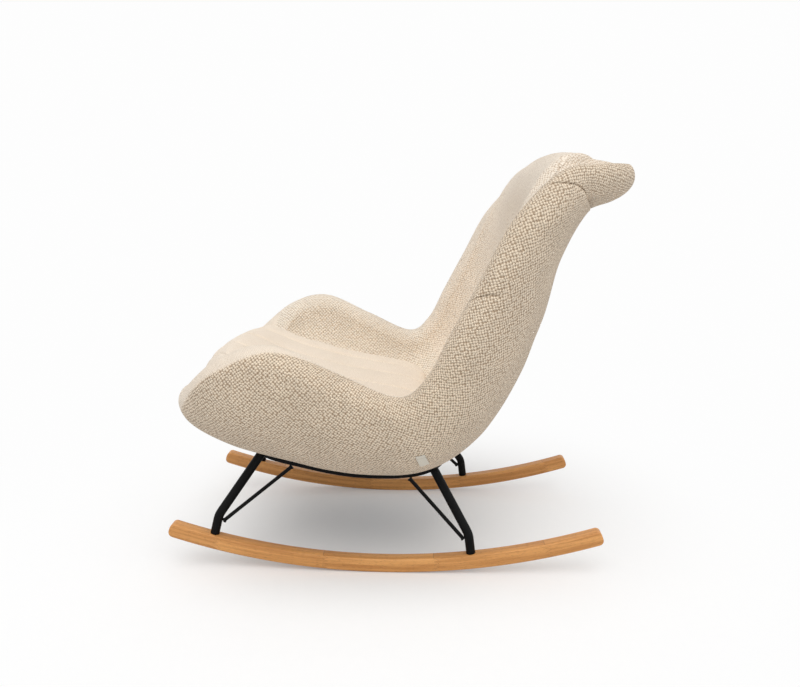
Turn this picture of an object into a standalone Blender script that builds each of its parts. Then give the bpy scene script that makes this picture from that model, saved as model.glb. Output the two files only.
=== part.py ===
"""Rocking accent chair: a padded bucket shell on a steel underframe and two wooden rockers.

Metres, +Z up. The sitter faces -Y, and +X is the sitter's left. Every piece of the shell is a layer
of one middle surface: u runs along its spine from the front lip to the head, in metres, and v runs
across it from the right edge (-1) to the left edge (1). Offsets go towards the sitter.
"""
import math

import bmesh
import bpy
import numpy as np
from mathutils import Matrix, Vector

# Clearances: between hard pieces, under the loose cushion, and between sewn panels
GAP = 0.0003
CUSHION_GAP = 0.0007
SEAM_GAP = 0.0006

# Rockers
RUNNER_LENGTH = 0.900
RUNNER_RADIUS = 1.460
RUNNER_WIDTH = 0.028
RUNNER_HEIGHT = 0.030
RUNNER_EDGE_RADIUS = 0.004
RUNNER_END_RADIUS = 0.010
RUNNER_SPACING = 0.440
RUNNER_FACETS = 15

# Steel underframe
LEG_DIAMETER = 0.019
LEG_WALL = 0.0015
LEG_BEND_RADIUS = 0.035
FOOT_LENGTH = 0.042
FRONT_FOOT_Y = -0.363
REAR_FOOT_Y = 0.185
RING_DIAMETER = 0.016
RING_HALF_WIDTH = 0.178
RING_FRONT_Y = -0.275
RING_REAR_Y = 0.114
RING_CORNER_RADIUS = 0.055
RING_TO_SHELL = 0.0006
BRACE_DIAMETER = 0.008
BRACE_DROP = 0.027
FRONT_BRACE_TOP_Y = -0.184
REAR_BRACE_TOP_Y = 0.043

# Fasteners
BOLT_DIAMETER = 0.006
BOLT_HOLE = 0.0066
BOLT_HEAD_DIAMETER = 0.012
BOLT_HEAD_HEIGHT = 0.004
BOLT_SOCKET_DIAMETER = 0.004
BOLT_SOCKET_DEPTH = 0.002
COUNTERBORE_DIAMETER = 0.015
COUNTERBORE_DEPTH = 0.008
INSERT_LENGTH = 0.024
TNUT_FLANGE_DIAMETER = 0.018
TNUT_FLANGE_THICKNESS = 0.0015
TNUT_BARREL_DIAMETER = 0.009
TNUT_LENGTH = 0.012
TNUT_POCKET = 0.0005
PLATE_LENGTH = 0.030
PLATE_WIDTH = 0.074
PLATE_THICKNESS = 0.004
PLATE_TO_RING = 0.0017
BOLT_INSET = 0.014

# Shell layers and edges
CORE_THICKNESS = 0.009
CORE_INSET = 0.045
CORE_EDGE = 0.90
EDGE_ROLL_RADIUS = 0.040
LIP_RADIUS = 0.060
HEAD_RADIUS = 0.050
SEAM_HALF_THICKNESS = 0.003
BACK_SEAM_U = 0.600
BACK_CHANNELS = 5
BACK_CHANNEL_WIDTH = 0.105
BACK_CHANNEL_DEPTH = 0.004
CHANNEL_FADE = 0.120

# Underside opening, its two battens and the dust cover
BATTEN_WIDTH = 0.060
DUST_COVER_THICKNESS = 0.0015
DUST_COVER_OVERLAP = 0.016
DUST_COVER_TO_RING = 0.006

# Loose seat cushion
CUSHION_FRONT_U = 0.004
CUSHION_REAR_U = 0.535
CUSHION_HALF_WIDTH = 0.292
CUSHION_HEIGHT = 0.098
CUSHION_FRONT_LIFT = 0.0034
CUSHION_LIFT_LENGTH = 0.300
CUSHION_RIM = 0.010
CUSHION_OVERHANG = 0.014
CUSHION_NOSE_LENGTH = 0.100
CUSHION_CHANNELS = 5
CUSHION_CHANNEL_DEPTH = 0.006
CUSHION_SIDE_LIMIT = 0.86
CUSHION_FRONT_SHARE = 0.86
CUSHION_REAR_SHARE = 0.66
CUSHION_END_ROUNDNESS = 2.9
CUSHION_SIDE_ROUNDNESS = 2.2
CUSHION_PLAN_ROUNDNESS = 4

# Blank sewn tab on the left flank
TAB_U = 0.526
TAB_ARC = 0.330
TAB_WIDTH = 0.017
TAB_LENGTH = 0.028
TAB_THICKNESS = 0.0010
TAB_CELLS = 4

# Mesh density
SHELL_ROWS = 22
SHELL_COLUMNS = 24
ROUND_ROWS = 4
CUSHION_ROWS = 22
CUSHION_COLUMNS = 20
TURNED_STEPS = 12
TUBE_SIDES = 12
BRACE_SIDES = 10
ROW_SPACE = 0.012
COLUMN_SPACE = 0.012
RING_STEP = 0.035
AXIS_STEP = 0.004
CUT_OVERRUN = 0.005
TURNED_SMOOTH = 40
PANEL_SMOOTH = 60

# Stations along the shell, front lip to head: the spine's y and z, the edge's x, y and z, how
# square the cross-section is (2 is an ellipse), and the thickness at the spine and at the edge
STATIONS = (
    (-0.398, 0.372, 0.175, -0.376, 0.386, 2.6, 0.110, 0.100),
    (-0.358, 0.335, 0.280, -0.342, 0.420, 2.8, 0.100, 0.092),
    (-0.284, 0.291, 0.340, -0.286, 0.482, 2.9, 0.088, 0.080),
    (-0.184, 0.258, 0.354, -0.193, 0.505, 2.9, 0.084, 0.076),
    (-0.049, 0.234, 0.354, -0.077, 0.456, 2.9, 0.082, 0.076),
    (0.081, 0.242, 0.347, 0.034, 0.410, 2.8, 0.076, 0.076),
    (0.178, 0.299, 0.344, 0.088, 0.447, 2.6, 0.068, 0.076),
    (0.248, 0.400, 0.344, 0.130, 0.528, 2.4, 0.064, 0.076),
    (0.295, 0.530, 0.342, 0.180, 0.623, 2.3, 0.069, 0.076),
    (0.320, 0.662, 0.332, 0.238, 0.731, 2.2, 0.092, 0.076),
    (0.357, 0.780, 0.303, 0.320, 0.812, 2.2, 0.150, 0.074),
    (0.416, 0.785, 0.256, 0.394, 0.826, 2.2, 0.088, 0.064),
    (0.498, 0.787, 0.190, 0.468, 0.829, 2.2, 0.046, 0.048),
)

CHAIR = "rocking_accent_chair"
CUTTERS = "cutters"
BEIGE_WEAVE = ((0.62, 0.52, 0.40), 0.95, 0.0)
PALE_WEAVE = ((0.70, 0.61, 0.49), 0.95, 0.0)
BLACK_STEEL = ((0.012, 0.012, 0.013), 0.45, 0.6)
ZINC_STEEL = ((0.55, 0.56, 0.58), 0.35, 1.0)
OAK = ((0.58, 0.31, 0.12), 0.50, 0.0)
PLYWOOD = ((0.60, 0.44, 0.27), 0.65, 0.0)
BLACK_CLOTH = ((0.02, 0.02, 0.02), 0.95, 0.0)
CREAM_CLOTH = ((0.78, 0.74, 0.66), 0.90, 0.0)


# The shell's middle surface

def spline(table, positions):
    """Catmull-Rom curve through the rows of table, at positions counted in rows."""
    table = np.asarray(table, float)
    padded = np.vstack([2 * table[0] - table[1], table, 2 * table[-1] - table[-2]])
    positions = np.clip(positions, 0.0, len(table) - 1 - 1e-9)
    row = np.floor(positions).astype(int)
    t = (positions - row)[:, None]
    a, b, c, d = (padded[row + k] for k in range(4))
    return 0.5 * (2 * b + (c - a) * t + (2 * a - 5 * b + 4 * c - d) * t ** 2
                  + (3 * b - a - 3 * c + d) * t ** 3)


def spine_scale(samples=600):
    """Station positions and the length of spine up to each of them."""
    positions = np.linspace(0, len(STATIONS) - 1, samples)
    points = spline(STATIONS, positions)[:, :2]
    steps = np.linalg.norm(np.diff(points, axis=0), axis=1)
    return positions, np.concatenate([[0.0], np.cumsum(steps)])


SPINE_POSITIONS, SPINE_ARC = spine_scale()
SPINE_LENGTH = float(SPINE_ARC[-1])


def station_rows(us):
    return spline(STATIONS, np.interp(us, SPINE_ARC, SPINE_POSITIONS))


def middle(us, vs, samples=300):
    """Points of the middle surface and the half-length of each cross-section.

    A cross-section is two quarter super-ellipses from the spine to the edges, spaced by arc length.
    """
    angle = np.linspace(0, math.pi / 2, samples)
    points = np.empty((len(us), len(vs), 3))
    half_lengths = np.empty(len(us))
    for i, (spine_y, spine_z, edge_x, edge_y, edge_z, power, _, _) in enumerate(station_rows(us)):
        depth = math.hypot(edge_y - spine_y, edge_z - spine_z)
        radius = ((np.sin(angle) / edge_x) ** power + (np.cos(angle) / depth) ** power) ** (-1 / power)
        x = radius * np.sin(angle)
        rise = 1 - radius * np.cos(angle) / depth
        arc = np.concatenate([[0.0], np.cumsum(np.hypot(np.diff(x), np.diff(rise) * depth))])
        reach = np.abs(vs) * arc[-1]
        lift = np.interp(reach, arc, rise)
        points[i, :, 0] = np.sign(vs) * np.interp(reach, arc, x)
        points[i, :, 1] = spine_y + (edge_y - spine_y) * lift
        points[i, :, 2] = spine_z + (edge_z - spine_z) * lift
        half_lengths[i] = arc[-1]
    return points, half_lengths


def normals(us, vs, du=0.004, dv=0.01):
    """Unit normals of the middle surface, towards the sitter."""
    along = (middle(np.minimum(us + du, SPINE_LENGTH), vs)[0] - middle(np.maximum(us - du, 0), vs)[0])
    across = (middle(us, np.minimum(vs + dv, 1))[0] - middle(us, np.maximum(vs - dv, -1))[0])
    normal = np.cross(across, along)
    return normal / np.linalg.norm(normal, axis=2, keepdims=True)


def rounded(distance, radius):
    """Quarter-round rise from 0 at an edge to 1 a radius away from it."""
    t = 1 - np.clip(distance / radius, 0, 1)
    return np.sqrt(np.clip(1 - t ** 2, 0, 1))


def half_thickness(us, vs, half_lengths):
    rows = station_rows(us)
    centre = rows[:, 6][:, None]
    edge = rows[:, 7][:, None]
    thickness = centre + (edge - centre) * (vs ** 2)[None, :]
    thickness = thickness * rounded(us, LIP_RADIUS)[:, None]
    thickness = thickness * rounded(SPINE_LENGTH - us, HEAD_RADIUS)[:, None]
    thickness = thickness * rounded((1 - np.abs(vs))[None, :] * half_lengths[:, None], EDGE_ROLL_RADIUS)
    return np.maximum(thickness / 2, SEAM_HALF_THICKNESS)


def core_clearance(us, vs):
    """Half the space left for the core: its own half-thickness, or a bare seam beyond its edges."""
    inside_u = (us > CORE_INSET - 1e-6) & (us < SPINE_LENGTH - CORE_INSET + 1e-6)
    inside_v = np.abs(vs) < CORE_EDGE + 1e-6
    inside = inside_u[:, None] & inside_v[None, :]
    return np.where(inside, CORE_THICKNESS / 2 + GAP, GAP / 2)


def half_length_at(u):
    return float(middle(np.array([u]), np.array([0.0]))[1][0])


def underside(us, vs):
    """Points of the shell's outer face."""
    points, half_lengths = middle(us, vs)
    return points - normals(us, vs) * half_thickness(us, vs, half_lengths)[..., None]


def underside_u(y):
    """The u of the underside's middle line at y."""
    us = np.linspace(LIP_RADIUS, BACK_SEAM_U, 200)
    return float(np.interp(y, underside(us, np.array([0.0]))[:, 0, 1], us))


def underside_v(u, x):
    """The v of the underside's point that lies x from the middle plane."""
    vs = np.linspace(0, 0.9, 200)
    line = underside(np.array([u]), vs)[0, :, 0]
    return math.copysign(float(np.interp(abs(x), line, vs)), x)


# The opening under the seat keeps inside the ring, with room for the dust cover's edge
RING_CORNER_SETBACK = (RING_CORNER_RADIUS - RING_DIAMETER / 2) * (1 - math.sqrt(0.5))
OPENING_MARGIN = RING_DIAMETER / 2 + RING_CORNER_SETBACK + DUST_COVER_TO_RING + DUST_COVER_OVERLAP
OPENING_FRONT_U = underside_u(RING_FRONT_Y + OPENING_MARGIN)
OPENING_REAR_U = underside_u(RING_REAR_Y - OPENING_MARGIN)
OPENING_MIDDLE_U = (OPENING_FRONT_U + OPENING_REAR_U) / 2
OPENING_EDGE_V = underside_v(OPENING_MIDDLE_U, RING_HALF_WIDTH - OPENING_MARGIN)


def merged(values, fixed, least):
    """Sorted values and fixed values, without the values that lie close to a fixed one."""
    fixed = np.asarray(fixed)
    clear = [value for value in values if np.abs(fixed - value).min() > least]
    return np.unique(np.concatenate([clear, fixed]))


def shell_lines():
    """The grid lines that all layers of the shell share, so that their facets lie parallel."""
    quarter = 1 - np.cos(np.linspace(0, math.pi / 2, ROUND_ROWS + 1))
    rows = np.linspace(LIP_RADIUS, SPINE_LENGTH - HEAD_RADIUS, SHELL_ROWS)
    us = np.concatenate([LIP_RADIUS * quarter, rows[1:-1], SPINE_LENGTH - HEAD_RADIUS * quarter])
    fixed_us = [0.0, SPINE_LENGTH, CORE_INSET, SPINE_LENGTH - CORE_INSET, BACK_SEAM_U, OPENING_FRONT_U,
                OPENING_FRONT_U + BATTEN_WIDTH, OPENING_REAR_U - BATTEN_WIDTH, OPENING_REAR_U]
    vs = np.sin(np.linspace(-1, 1, SHELL_COLUMNS + 1) * math.pi / 2)
    fixed_vs = [-1.0, 1.0, -CORE_EDGE, CORE_EDGE, -OPENING_EDGE_V, OPENING_EDGE_V]
    return merged(us, fixed_us, ROW_SPACE), merged(vs, fixed_vs, COLUMN_SPACE)


ROW_LINES, COLUMN_LINES = shell_lines()


def lines_between(lines, low, high, least=0.003):
    """The limits, and the shared lines well inside them."""
    inner = lines[(lines > low + least) & (lines < high - least)]
    return np.concatenate([[low], inner, [high]])


class Layer:
    """A patch of the shell, between u and v limits, with its grid of points at any offset."""

    def __init__(self, u_limits, v_limits):
        self.us = lines_between(ROW_LINES, *u_limits)
        self.vs = lines_between(COLUMN_LINES, *v_limits)
        self.middle, half_lengths = middle(self.us, self.vs)
        self.normal = normals(self.us, self.vs)
        self.half = half_thickness(self.us, self.vs, half_lengths)
        self.core = core_clearance(self.us, self.vs)

    def at(self, offset):
        return self.middle + self.normal * np.asarray(offset)[..., None]


# Blender helpers

def collection(name):
    made = bpy.data.collections.new(name)
    bpy.context.scene.collection.children.link(made)
    return made


def clear_scene():
    for item in list(bpy.data.objects):
        bpy.data.objects.remove(item, do_unlink=True)


def place(item, finish, smooth_angle=None):
    """Put a piece in the chair's collection, under the chair's origin, with its own material."""
    colour, roughness, metallic = finish
    material = bpy.data.materials.new(item.name + "_finish")
    material.use_nodes = True
    shader = material.node_tree.nodes["Principled BSDF"]
    shader.inputs["Base Color"].default_value = (*colour, 1.0)
    shader.inputs["Roughness"].default_value = roughness
    shader.inputs["Metallic"].default_value = metallic
    item.data.materials.append(material)
    bpy.data.collections[CHAIR].objects.link(item)
    item.parent = bpy.data.objects["chair_origin"]
    if smooth_angle is not None:
        item.data.shade_smooth()
        item.data.set_sharp_from_angle(angle=math.radians(smooth_angle))
    return item


def place_cutter(item):
    bpy.data.collections[CUTTERS].objects.link(item)
    item.parent = bpy.data.objects["chair_origin"]
    item.hide_render = True
    item.display_type = "WIRE"
    return item


def cut(item, cutter):
    boolean = item.modifiers.new("cut_" + cutter.name, "BOOLEAN")
    boolean.object = cutter
    boolean.operation = "DIFFERENCE"


def layered_solid(name, low, high, keep=None):
    """Closed loft between two grids of points, low beneath high, over the cells that keep allows.

    The diagonals of both grids match, so do those of the sides of neighbouring panels, and they
    mirror across the chair's middle plane.
    """
    rows, columns = low.shape[:2]
    if keep is None:
        keep = np.ones((rows - 1, columns - 1), bool)
    index = np.arange(rows * columns).reshape(rows, columns)
    under = rows * columns
    bordered = np.pad(keep, 1)
    faces = []
    for i, j in zip(*np.nonzero(keep)):
        a, b, c, d = index[i, j], index[i, j + 1], index[i + 1, j + 1], index[i + 1, j]
        left = high[i, j, 0] + high[i, j + 1, 0] > 0
        halves = ((a, b, c), (a, c, d)) if left else ((a, b, d), (b, c, d))
        for half in halves:
            faces.append(half)
            faces.append(tuple(k + under for k in reversed(half)))
        sides = ((i, j + 1, a, b, left), (i + 1, j + 2, b, c, True),
                 (i + 2, j + 1, c, d, not left), (i + 1, j, d, a, False))
        for row, column, start, end, forward in sides:
            if not bordered[row, column]:
                faces.append((start + under, end + under, end if forward else start))
                faces.append((end, start, start + under if forward else end + under))
    points = np.concatenate([high.reshape(-1, 3), low.reshape(-1, 3)])
    mesh = bpy.data.meshes.new(name)
    mesh.from_pydata(points.tolist(), [], faces)
    shape = bmesh.new()
    shape.from_mesh(mesh)
    loose = [vertex for vertex in shape.verts if not vertex.link_faces]
    bmesh.ops.delete(shape, geom=loose, context="VERTS")
    shape.to_mesh(mesh)
    shape.free()
    return bpy.data.objects.new(name, mesh)


def rod(name, points, diameter, sides, closed=False, wall=None):
    """A bar, or a tube if it has a wall, along a path."""
    curve = bpy.data.curves.new(name, "CURVE")
    curve.dimensions = "3D"
    curve.bevel_depth = diameter / 2
    curve.bevel_resolution = sides // 2 - 2
    curve.use_fill_caps = wall is None and not closed
    path = curve.splines.new("POLY")
    path.points.add(len(points) - 1)
    for knot, point in zip(path.points, points):
        knot.co = (*point, 1.0)
    path.use_cyclic_u = closed
    path.use_smooth = True
    item = bpy.data.objects.new(name, curve)
    if wall is not None:
        solidify = item.modifiers.new("wall", "SOLIDIFY")
        solidify.thickness = wall
        solidify.offset = -1.0
        solidify.use_even_offset = True
    return item


def turned(name, profile, frame):
    """A turned piece: profile points (radius, height), down the outer side, about the frame's z."""
    mesh = bpy.data.meshes.new(name)
    points = [(radius, 0.0, height) for radius, height in profile]
    edges = [(k, k + 1) for k in range(len(points) - 1)]
    if profile[0][0] > 0:
        edges.append((len(points) - 1, 0))
    mesh.from_pydata(points, edges, [])
    item = bpy.data.objects.new(name, mesh)
    item.matrix_local = frame
    screw = item.modifiers.new("turn", "SCREW")
    screw.steps = TURNED_STEPS
    screw.render_steps = TURNED_STEPS
    screw.use_merge_vertices = True
    screw.merge_threshold = 0.00001
    return item


def axis_frame(origin, axis):
    """A frame at origin whose z runs along axis."""
    turn = Vector(axis).to_track_quat("Z", "Y").to_matrix().to_4x4()
    return Matrix.Translation(Vector(origin)) @ turn


def unit(vector):
    return vector / np.linalg.norm(vector)


def bolt_profile(length):
    """Cap bolt from its tip at height length down to its head below height 0."""
    shank = BOLT_DIAMETER / 2
    head = BOLT_HEAD_DIAMETER / 2
    socket = BOLT_SOCKET_DIAMETER / 2
    floor = -BOLT_HEAD_HEIGHT
    recess = floor + BOLT_SOCKET_DEPTH
    return ((0, length), (shank, length), (shank, 0), (head, 0), (head, floor), (socket, floor),
            (socket, recess), (0, recess))


# Rockers

END_ANGLE = RUNNER_END_RADIUS / RUNNER_RADIUS
HALF_SWEEP = math.asin(RUNNER_LENGTH / 2 / (RUNNER_RADIUS - RUNNER_END_RADIUS)) - END_ANGLE
FACET_ANGLE = 2 * HALF_SWEEP / RUNNER_FACETS
RUNNER_CENTRE_Z = RUNNER_RADIUS * math.cos(FACET_ANGLE / 2)
SEAT_LIFT = (RUNNER_RADIUS - RUNNER_HEIGHT) * (1 - math.cos(FACET_ANGLE / 2))


def rocker_point(side, angle, radius):
    """Point of a rocker's middle plane: angle from straight down, and distance from its centre."""
    return np.array([side * RUNNER_SPACING / 2, radius * math.sin(angle),
                     RUNNER_CENTRE_Z - radius * math.cos(angle)])


def foot_frame(side, foot_y):
    """The foot's point on the rocker's top, and the direction up the foot."""
    angle = math.asin(foot_y / RUNNER_RADIUS)
    top = rocker_point(side, angle, RUNNER_RADIUS - RUNNER_HEIGHT)
    up = np.array([0.0, -math.sin(angle), math.cos(angle)])
    return top, up


def rocker_section(inset):
    """Rounded rectangle (x, distance below the top) with its height drawn in by inset."""
    turns = np.radians([0, 45, 90])
    corners = ((1, 1, 0), (-1, 1, 90), (-1, -1, 180), (1, -1, 270))
    height = RUNNER_HEIGHT - 2 * inset
    radius = min(RUNNER_EDGE_RADIUS, 0.4 * height)
    section = []
    for x_sign, y_sign, start in corners:
        centre_x = x_sign * (RUNNER_WIDTH / 2 - radius)
        centre_y = RUNNER_HEIGHT / 2 + y_sign * (height / 2 - radius)
        for turn in turns + math.radians(start):
            section.append((centre_x + radius * math.cos(turn), centre_y + radius * math.sin(turn)))
    return np.array(section)


def rocker(name, side):
    """Sweep of the section along the rocker's arc, with rounded ends."""
    stations = [(angle, 0.0) for angle in np.linspace(-HALF_SWEEP, HALF_SWEEP, RUNNER_FACETS + 1)]
    for turn in np.radians([60, 30, 0]):
        reach = HALF_SWEEP + END_ANGLE * math.cos(turn)
        inset = RUNNER_END_RADIUS * (1 - math.sin(turn))
        stations.append((reach, inset))
        stations.insert(0, (-reach, inset))
    rings = []
    for angle, inset in stations:
        section = rocker_section(inset)
        radius = RUNNER_RADIUS - RUNNER_HEIGHT + section[:, 1]
        rings.append(np.stack([side * RUNNER_SPACING / 2 + section[:, 0], radius * math.sin(angle),
                               RUNNER_CENTRE_Z - radius * math.cos(angle)], axis=1))
    count = len(rings[0])
    faces = [tuple(range(count)), tuple(reversed(range(count * (len(rings) - 1), count * len(rings))))]
    for i in range(len(rings) - 1):
        for k in range(count):
            n = (k + 1) % count
            faces.append((i * count + n, i * count + k, (i + 1) * count + k, (i + 1) * count + n))
    mesh = bpy.data.meshes.new(name)
    mesh.from_pydata(np.concatenate(rings).tolist(), [], faces)
    shape = bmesh.new()
    shape.from_mesh(mesh)
    bmesh.ops.recalc_face_normals(shape, faces=shape.faces)
    shape.to_mesh(mesh)
    shape.free()
    return bpy.data.objects.new(name, mesh)


# Underframe

def underside_grid(samples=60, widest=0.8):
    """Points and outward directions of the left half of the shell's underside."""
    us = np.linspace(LIP_RADIUS, BACK_SEAM_U, samples)
    vs = np.linspace(0, widest, samples)
    return underside(us, vs), -normals(us, vs)


UNDERSIDE, UNDERSIDE_OUT = underside_grid()


def belly(x, y):
    """Point of the shell's underside at (x, y), and the direction out of it."""
    def across(grid):
        return np.array([[np.interp(abs(x), line[:, 0], row[:, k]) for k in range(3)]
                         for line, row in zip(UNDERSIDE, grid)])
    line = across(UNDERSIDE)
    turns = across(UNDERSIDE_OUT)
    point = np.array([x, y, np.interp(y, line[:, 1], line[:, 2])])
    out = np.array([np.interp(y, line[:, 1], turns[:, k]) for k in range(3)])
    out[0] = math.copysign(out[0], x)
    return point, unit(out)


def ring_point(x, y):
    """Centre of the ring's tube where it lies against the shell at (x, y)."""
    point, out = belly(x, y)
    return point + out * (RING_DIAMETER / 2 + RING_TO_SHELL)


def ring_path():
    """Rounded rectangle in plan, pressed up against the shell."""
    corner_x = RING_HALF_WIDTH - RING_CORNER_RADIUS
    corners = ((corner_x, RING_REAR_Y - RING_CORNER_RADIUS, 0),
               (-corner_x, RING_REAR_Y - RING_CORNER_RADIUS, 90),
               (-corner_x, RING_FRONT_Y + RING_CORNER_RADIUS, 180),
               (corner_x, RING_FRONT_Y + RING_CORNER_RADIUS, 270))
    plan = []
    for x, y, start in corners:
        for turn in np.radians(start + np.linspace(0, 90, 7)):
            plan.append((x + RING_CORNER_RADIUS * math.cos(turn),
                         y + RING_CORNER_RADIUS * math.sin(turn)))
    path = []
    for (x0, y0), (x1, y1) in zip(plan, plan[1:] + plan[:1]):
        steps = max(1, round(math.hypot(x1 - x0, y1 - y0) / RING_STEP))
        for t in np.arange(steps) / steps:
            path.append(ring_point(x0 + (x1 - x0) * t, y0 + (y1 - y0) * t))
    return path


def ring_corner(side, rear):
    """Middle of one of the ring's corners, and the ring's direction there."""
    drop = RING_CORNER_RADIUS * (1 - math.sqrt(0.5))
    x = side * (RING_HALF_WIDTH - drop)
    y = RING_REAR_Y - drop if rear else RING_FRONT_Y + drop
    turn = AXIS_STEP * side if rear else -AXIS_STEP * side
    along = ring_point(x + AXIS_STEP, y - turn) - ring_point(x - AXIS_STEP, y + turn)
    return ring_point(x, y), unit(along)


def reach_to(target_radius, own_radius, direction, target_axis):
    """How far short of another bar's axis a square-cut bar has to stop to touch it and not cut it."""
    cosine = abs(float(np.dot(direction, target_axis)))
    return (target_radius + GAP + own_radius * cosine) / math.sqrt(1 - cosine ** 2)


def bent(start, corner, end, radius, steps=6):
    """Path from start to end with its corner rounded to radius."""
    back = unit(start - corner)
    ahead = unit(end - corner)
    half = math.acos(float(np.dot(back, ahead))) / 2
    trim = radius / math.tan(half)
    centre = corner + unit(back + ahead) * radius / math.sin(half)
    first = corner + back * trim - centre
    last = corner + ahead * trim - centre
    sweep = math.pi - 2 * half
    arc = [(math.sin((1 - t) * sweep) * first + math.sin(t * sweep) * last) / math.sin(sweep)
           for t in np.linspace(0, 1, steps)]
    return [start] + [centre + point for point in arc] + [end]


class LegLine:
    """Where one leg and its brace run: foot, bend and ring corner."""

    def __init__(self, side, rear):
        foot_y = REAR_FOOT_Y if rear else FRONT_FOOT_Y
        self.seat, self.up = foot_frame(side, foot_y)
        self.foot = self.seat + self.up * (GAP + SEAT_LIFT)
        self.bend = self.foot + self.up * FOOT_LENGTH
        corner, ring_axis = ring_corner(side, rear)
        along = unit(corner - self.bend)
        self.top = corner - along * reach_to(RING_DIAMETER / 2, LEG_DIAMETER / 2, along, ring_axis)
        brace_y = REAR_BRACE_TOP_Y if rear else FRONT_BRACE_TOP_Y
        self.brace = self.brace_ends(side * RING_HALF_WIDTH, brace_y)

    def brace_ends(self, x, y):
        foot = self.bend - self.up * BRACE_DROP
        top = ring_point(x, y)
        rail = unit(ring_point(x, y + AXIS_STEP) - ring_point(x, y - AXIS_STEP))
        along = unit(top - foot)
        low = foot + along * reach_to(LEG_DIAMETER / 2, BRACE_DIAMETER / 2, along, self.up)
        high = top - along * reach_to(RING_DIAMETER / 2, BRACE_DIAMETER / 2, along, rail)
        return [low, high]


def insert_profile():
    """Threaded plug that fills the foot of a leg."""
    outer = LEG_DIAMETER / 2 - LEG_WALL - GAP
    bore = BOLT_HOLE / 2
    return ((outer, INSERT_LENGTH), (outer, 0), (bore, 0), (bore, INSERT_LENGTH))


def runner_hole_profile():
    """Cutter for a runner bolt: a clearance hole and the counterbore under it."""
    hole = BOLT_HOLE / 2
    bore = COUNTERBORE_DIAMETER / 2
    shoulder = COUNTERBORE_DEPTH - RUNNER_HEIGHT
    low = -RUNNER_HEIGHT - CUT_OVERRUN
    return ((0, CUT_OVERRUN), (hole, CUT_OVERRUN), (hole, shoulder), (bore, shoulder), (bore, low),
            (0, low))


def make_underframe():
    runners = {side: rocker("runner_" + label, side) for side, label in ((1, "left"), (-1, "right"))}
    for side, label in ((1, "left"), (-1, "right")):
        for rear, end in ((False, "front"), (True, "rear")):
            tag = end + "_" + label
            line = LegLine(side, rear)
            path = bent(line.foot, line.bend, line.top, LEG_BEND_RADIUS)
            place(rod("leg_" + tag, path, LEG_DIAMETER, TUBE_SIDES, wall=LEG_WALL), BLACK_STEEL)
            place(rod("brace_" + tag, line.brace, BRACE_DIAMETER, BRACE_SIDES), BLACK_STEEL)
            foot = axis_frame(line.foot, line.up)
            place(turned("foot_insert_" + tag, insert_profile(), foot), ZINC_STEEL, TURNED_SMOOTH)
            under_head = COUNTERBORE_DEPTH - RUNNER_HEIGHT - GAP
            seat = axis_frame(line.seat + line.up * under_head, line.up)
            bolt_length = RUNNER_HEIGHT - COUNTERBORE_DEPTH + INSERT_LENGTH
            place(turned("runner_bolt_" + tag, bolt_profile(bolt_length), seat), ZINC_STEEL, TURNED_SMOOTH)
            hole = axis_frame(line.seat, line.up)
            cut(runners[side], place_cutter(turned("runner_hole_" + tag, runner_hole_profile(), hole)))
    for runner in runners.values():
        place(runner, OAK, TURNED_SMOOTH)
    place(rod("seat_ring", ring_path(), RING_DIAMETER, TUBE_SIDES, closed=True), BLACK_STEEL)


# Shell

def shell_core():
    """Moulded plywood shell that all the padding is stuck to."""
    layer = Layer((CORE_INSET, SPINE_LENGTH - CORE_INSET), (-CORE_EDGE, CORE_EDGE))
    half = np.full(layer.half.shape, CORE_THICKNESS / 2)
    return layered_solid("shell_core", layer.at(-half), layer.at(half))


def outside_bowl():
    """Outer padding of the seat and arms, open over the battens."""
    layer = Layer((0, BACK_SEAM_U - SEAM_GAP / 2), (-1, 1))
    u_middle = (layer.us[:-1] + layer.us[1:]) / 2
    v_middle = (layer.vs[:-1] + layer.vs[1:]) / 2
    open_rows = (u_middle > OPENING_FRONT_U) & (u_middle < OPENING_REAR_U)
    open_columns = np.abs(v_middle) < OPENING_EDGE_V
    keep = ~(open_rows[:, None] & open_columns[None, :])
    return layered_solid("outside_bowl", layer.at(-layer.half), layer.at(-layer.core), keep)


def outside_back():
    layer = Layer((BACK_SEAM_U + SEAM_GAP / 2, SPINE_LENGTH), (-1, 1))
    return layered_solid("outside_back", layer.at(-layer.half), layer.at(-layer.core))


def seat_layer():
    return Layer((0, BACK_SEAM_U - SEAM_GAP / 2), (-1, 1))


def inside_bowl():
    """Inner padding of the arms and the deck under the cushion."""
    layer = seat_layer()
    return layered_solid("inside_bowl", layer.at(layer.core), layer.at(layer.half))


def inside_back():
    """Inner padding of the back, sewn into upright channels."""
    layer = Layer((BACK_SEAM_U + SEAM_GAP / 2, SPINE_LENGTH), (-1, 1))
    half_length = half_length_at((BACK_SEAM_U + SPINE_LENGTH) / 2)
    seams = (np.arange(BACK_CHANNELS - 1) - (BACK_CHANNELS - 2) / 2) * BACK_CHANNEL_WIDTH / half_length
    columns = [int(np.abs(layer.vs - seam).argmin()) for seam in seams]
    fade = rounded(layer.us - layer.us[0], CHANNEL_FADE) * rounded(SPINE_LENGTH - layer.us, CHANNEL_FADE)
    top = layer.half.copy()
    top[:, columns] -= BACK_CHANNEL_DEPTH * fade[:, None]
    return layered_solid("inside_back", layer.at(layer.core), layer.at(top))


def batten_middle_u(rear):
    half = BATTEN_WIDTH / 2
    return OPENING_REAR_U - half if rear else OPENING_FRONT_U + half


def batten(name, rear):
    """Hardwood bar between the core and the ring, at one end of the opening."""
    middle_u = batten_middle_u(rear)
    half = BATTEN_WIDTH / 2 - GAP
    side = OPENING_EDGE_V - GAP / half_length_at(middle_u)
    layer = Layer((middle_u - half, middle_u + half), (-side, side))
    return layered_solid(name, layer.at(-layer.half), layer.at(-layer.core))


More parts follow.
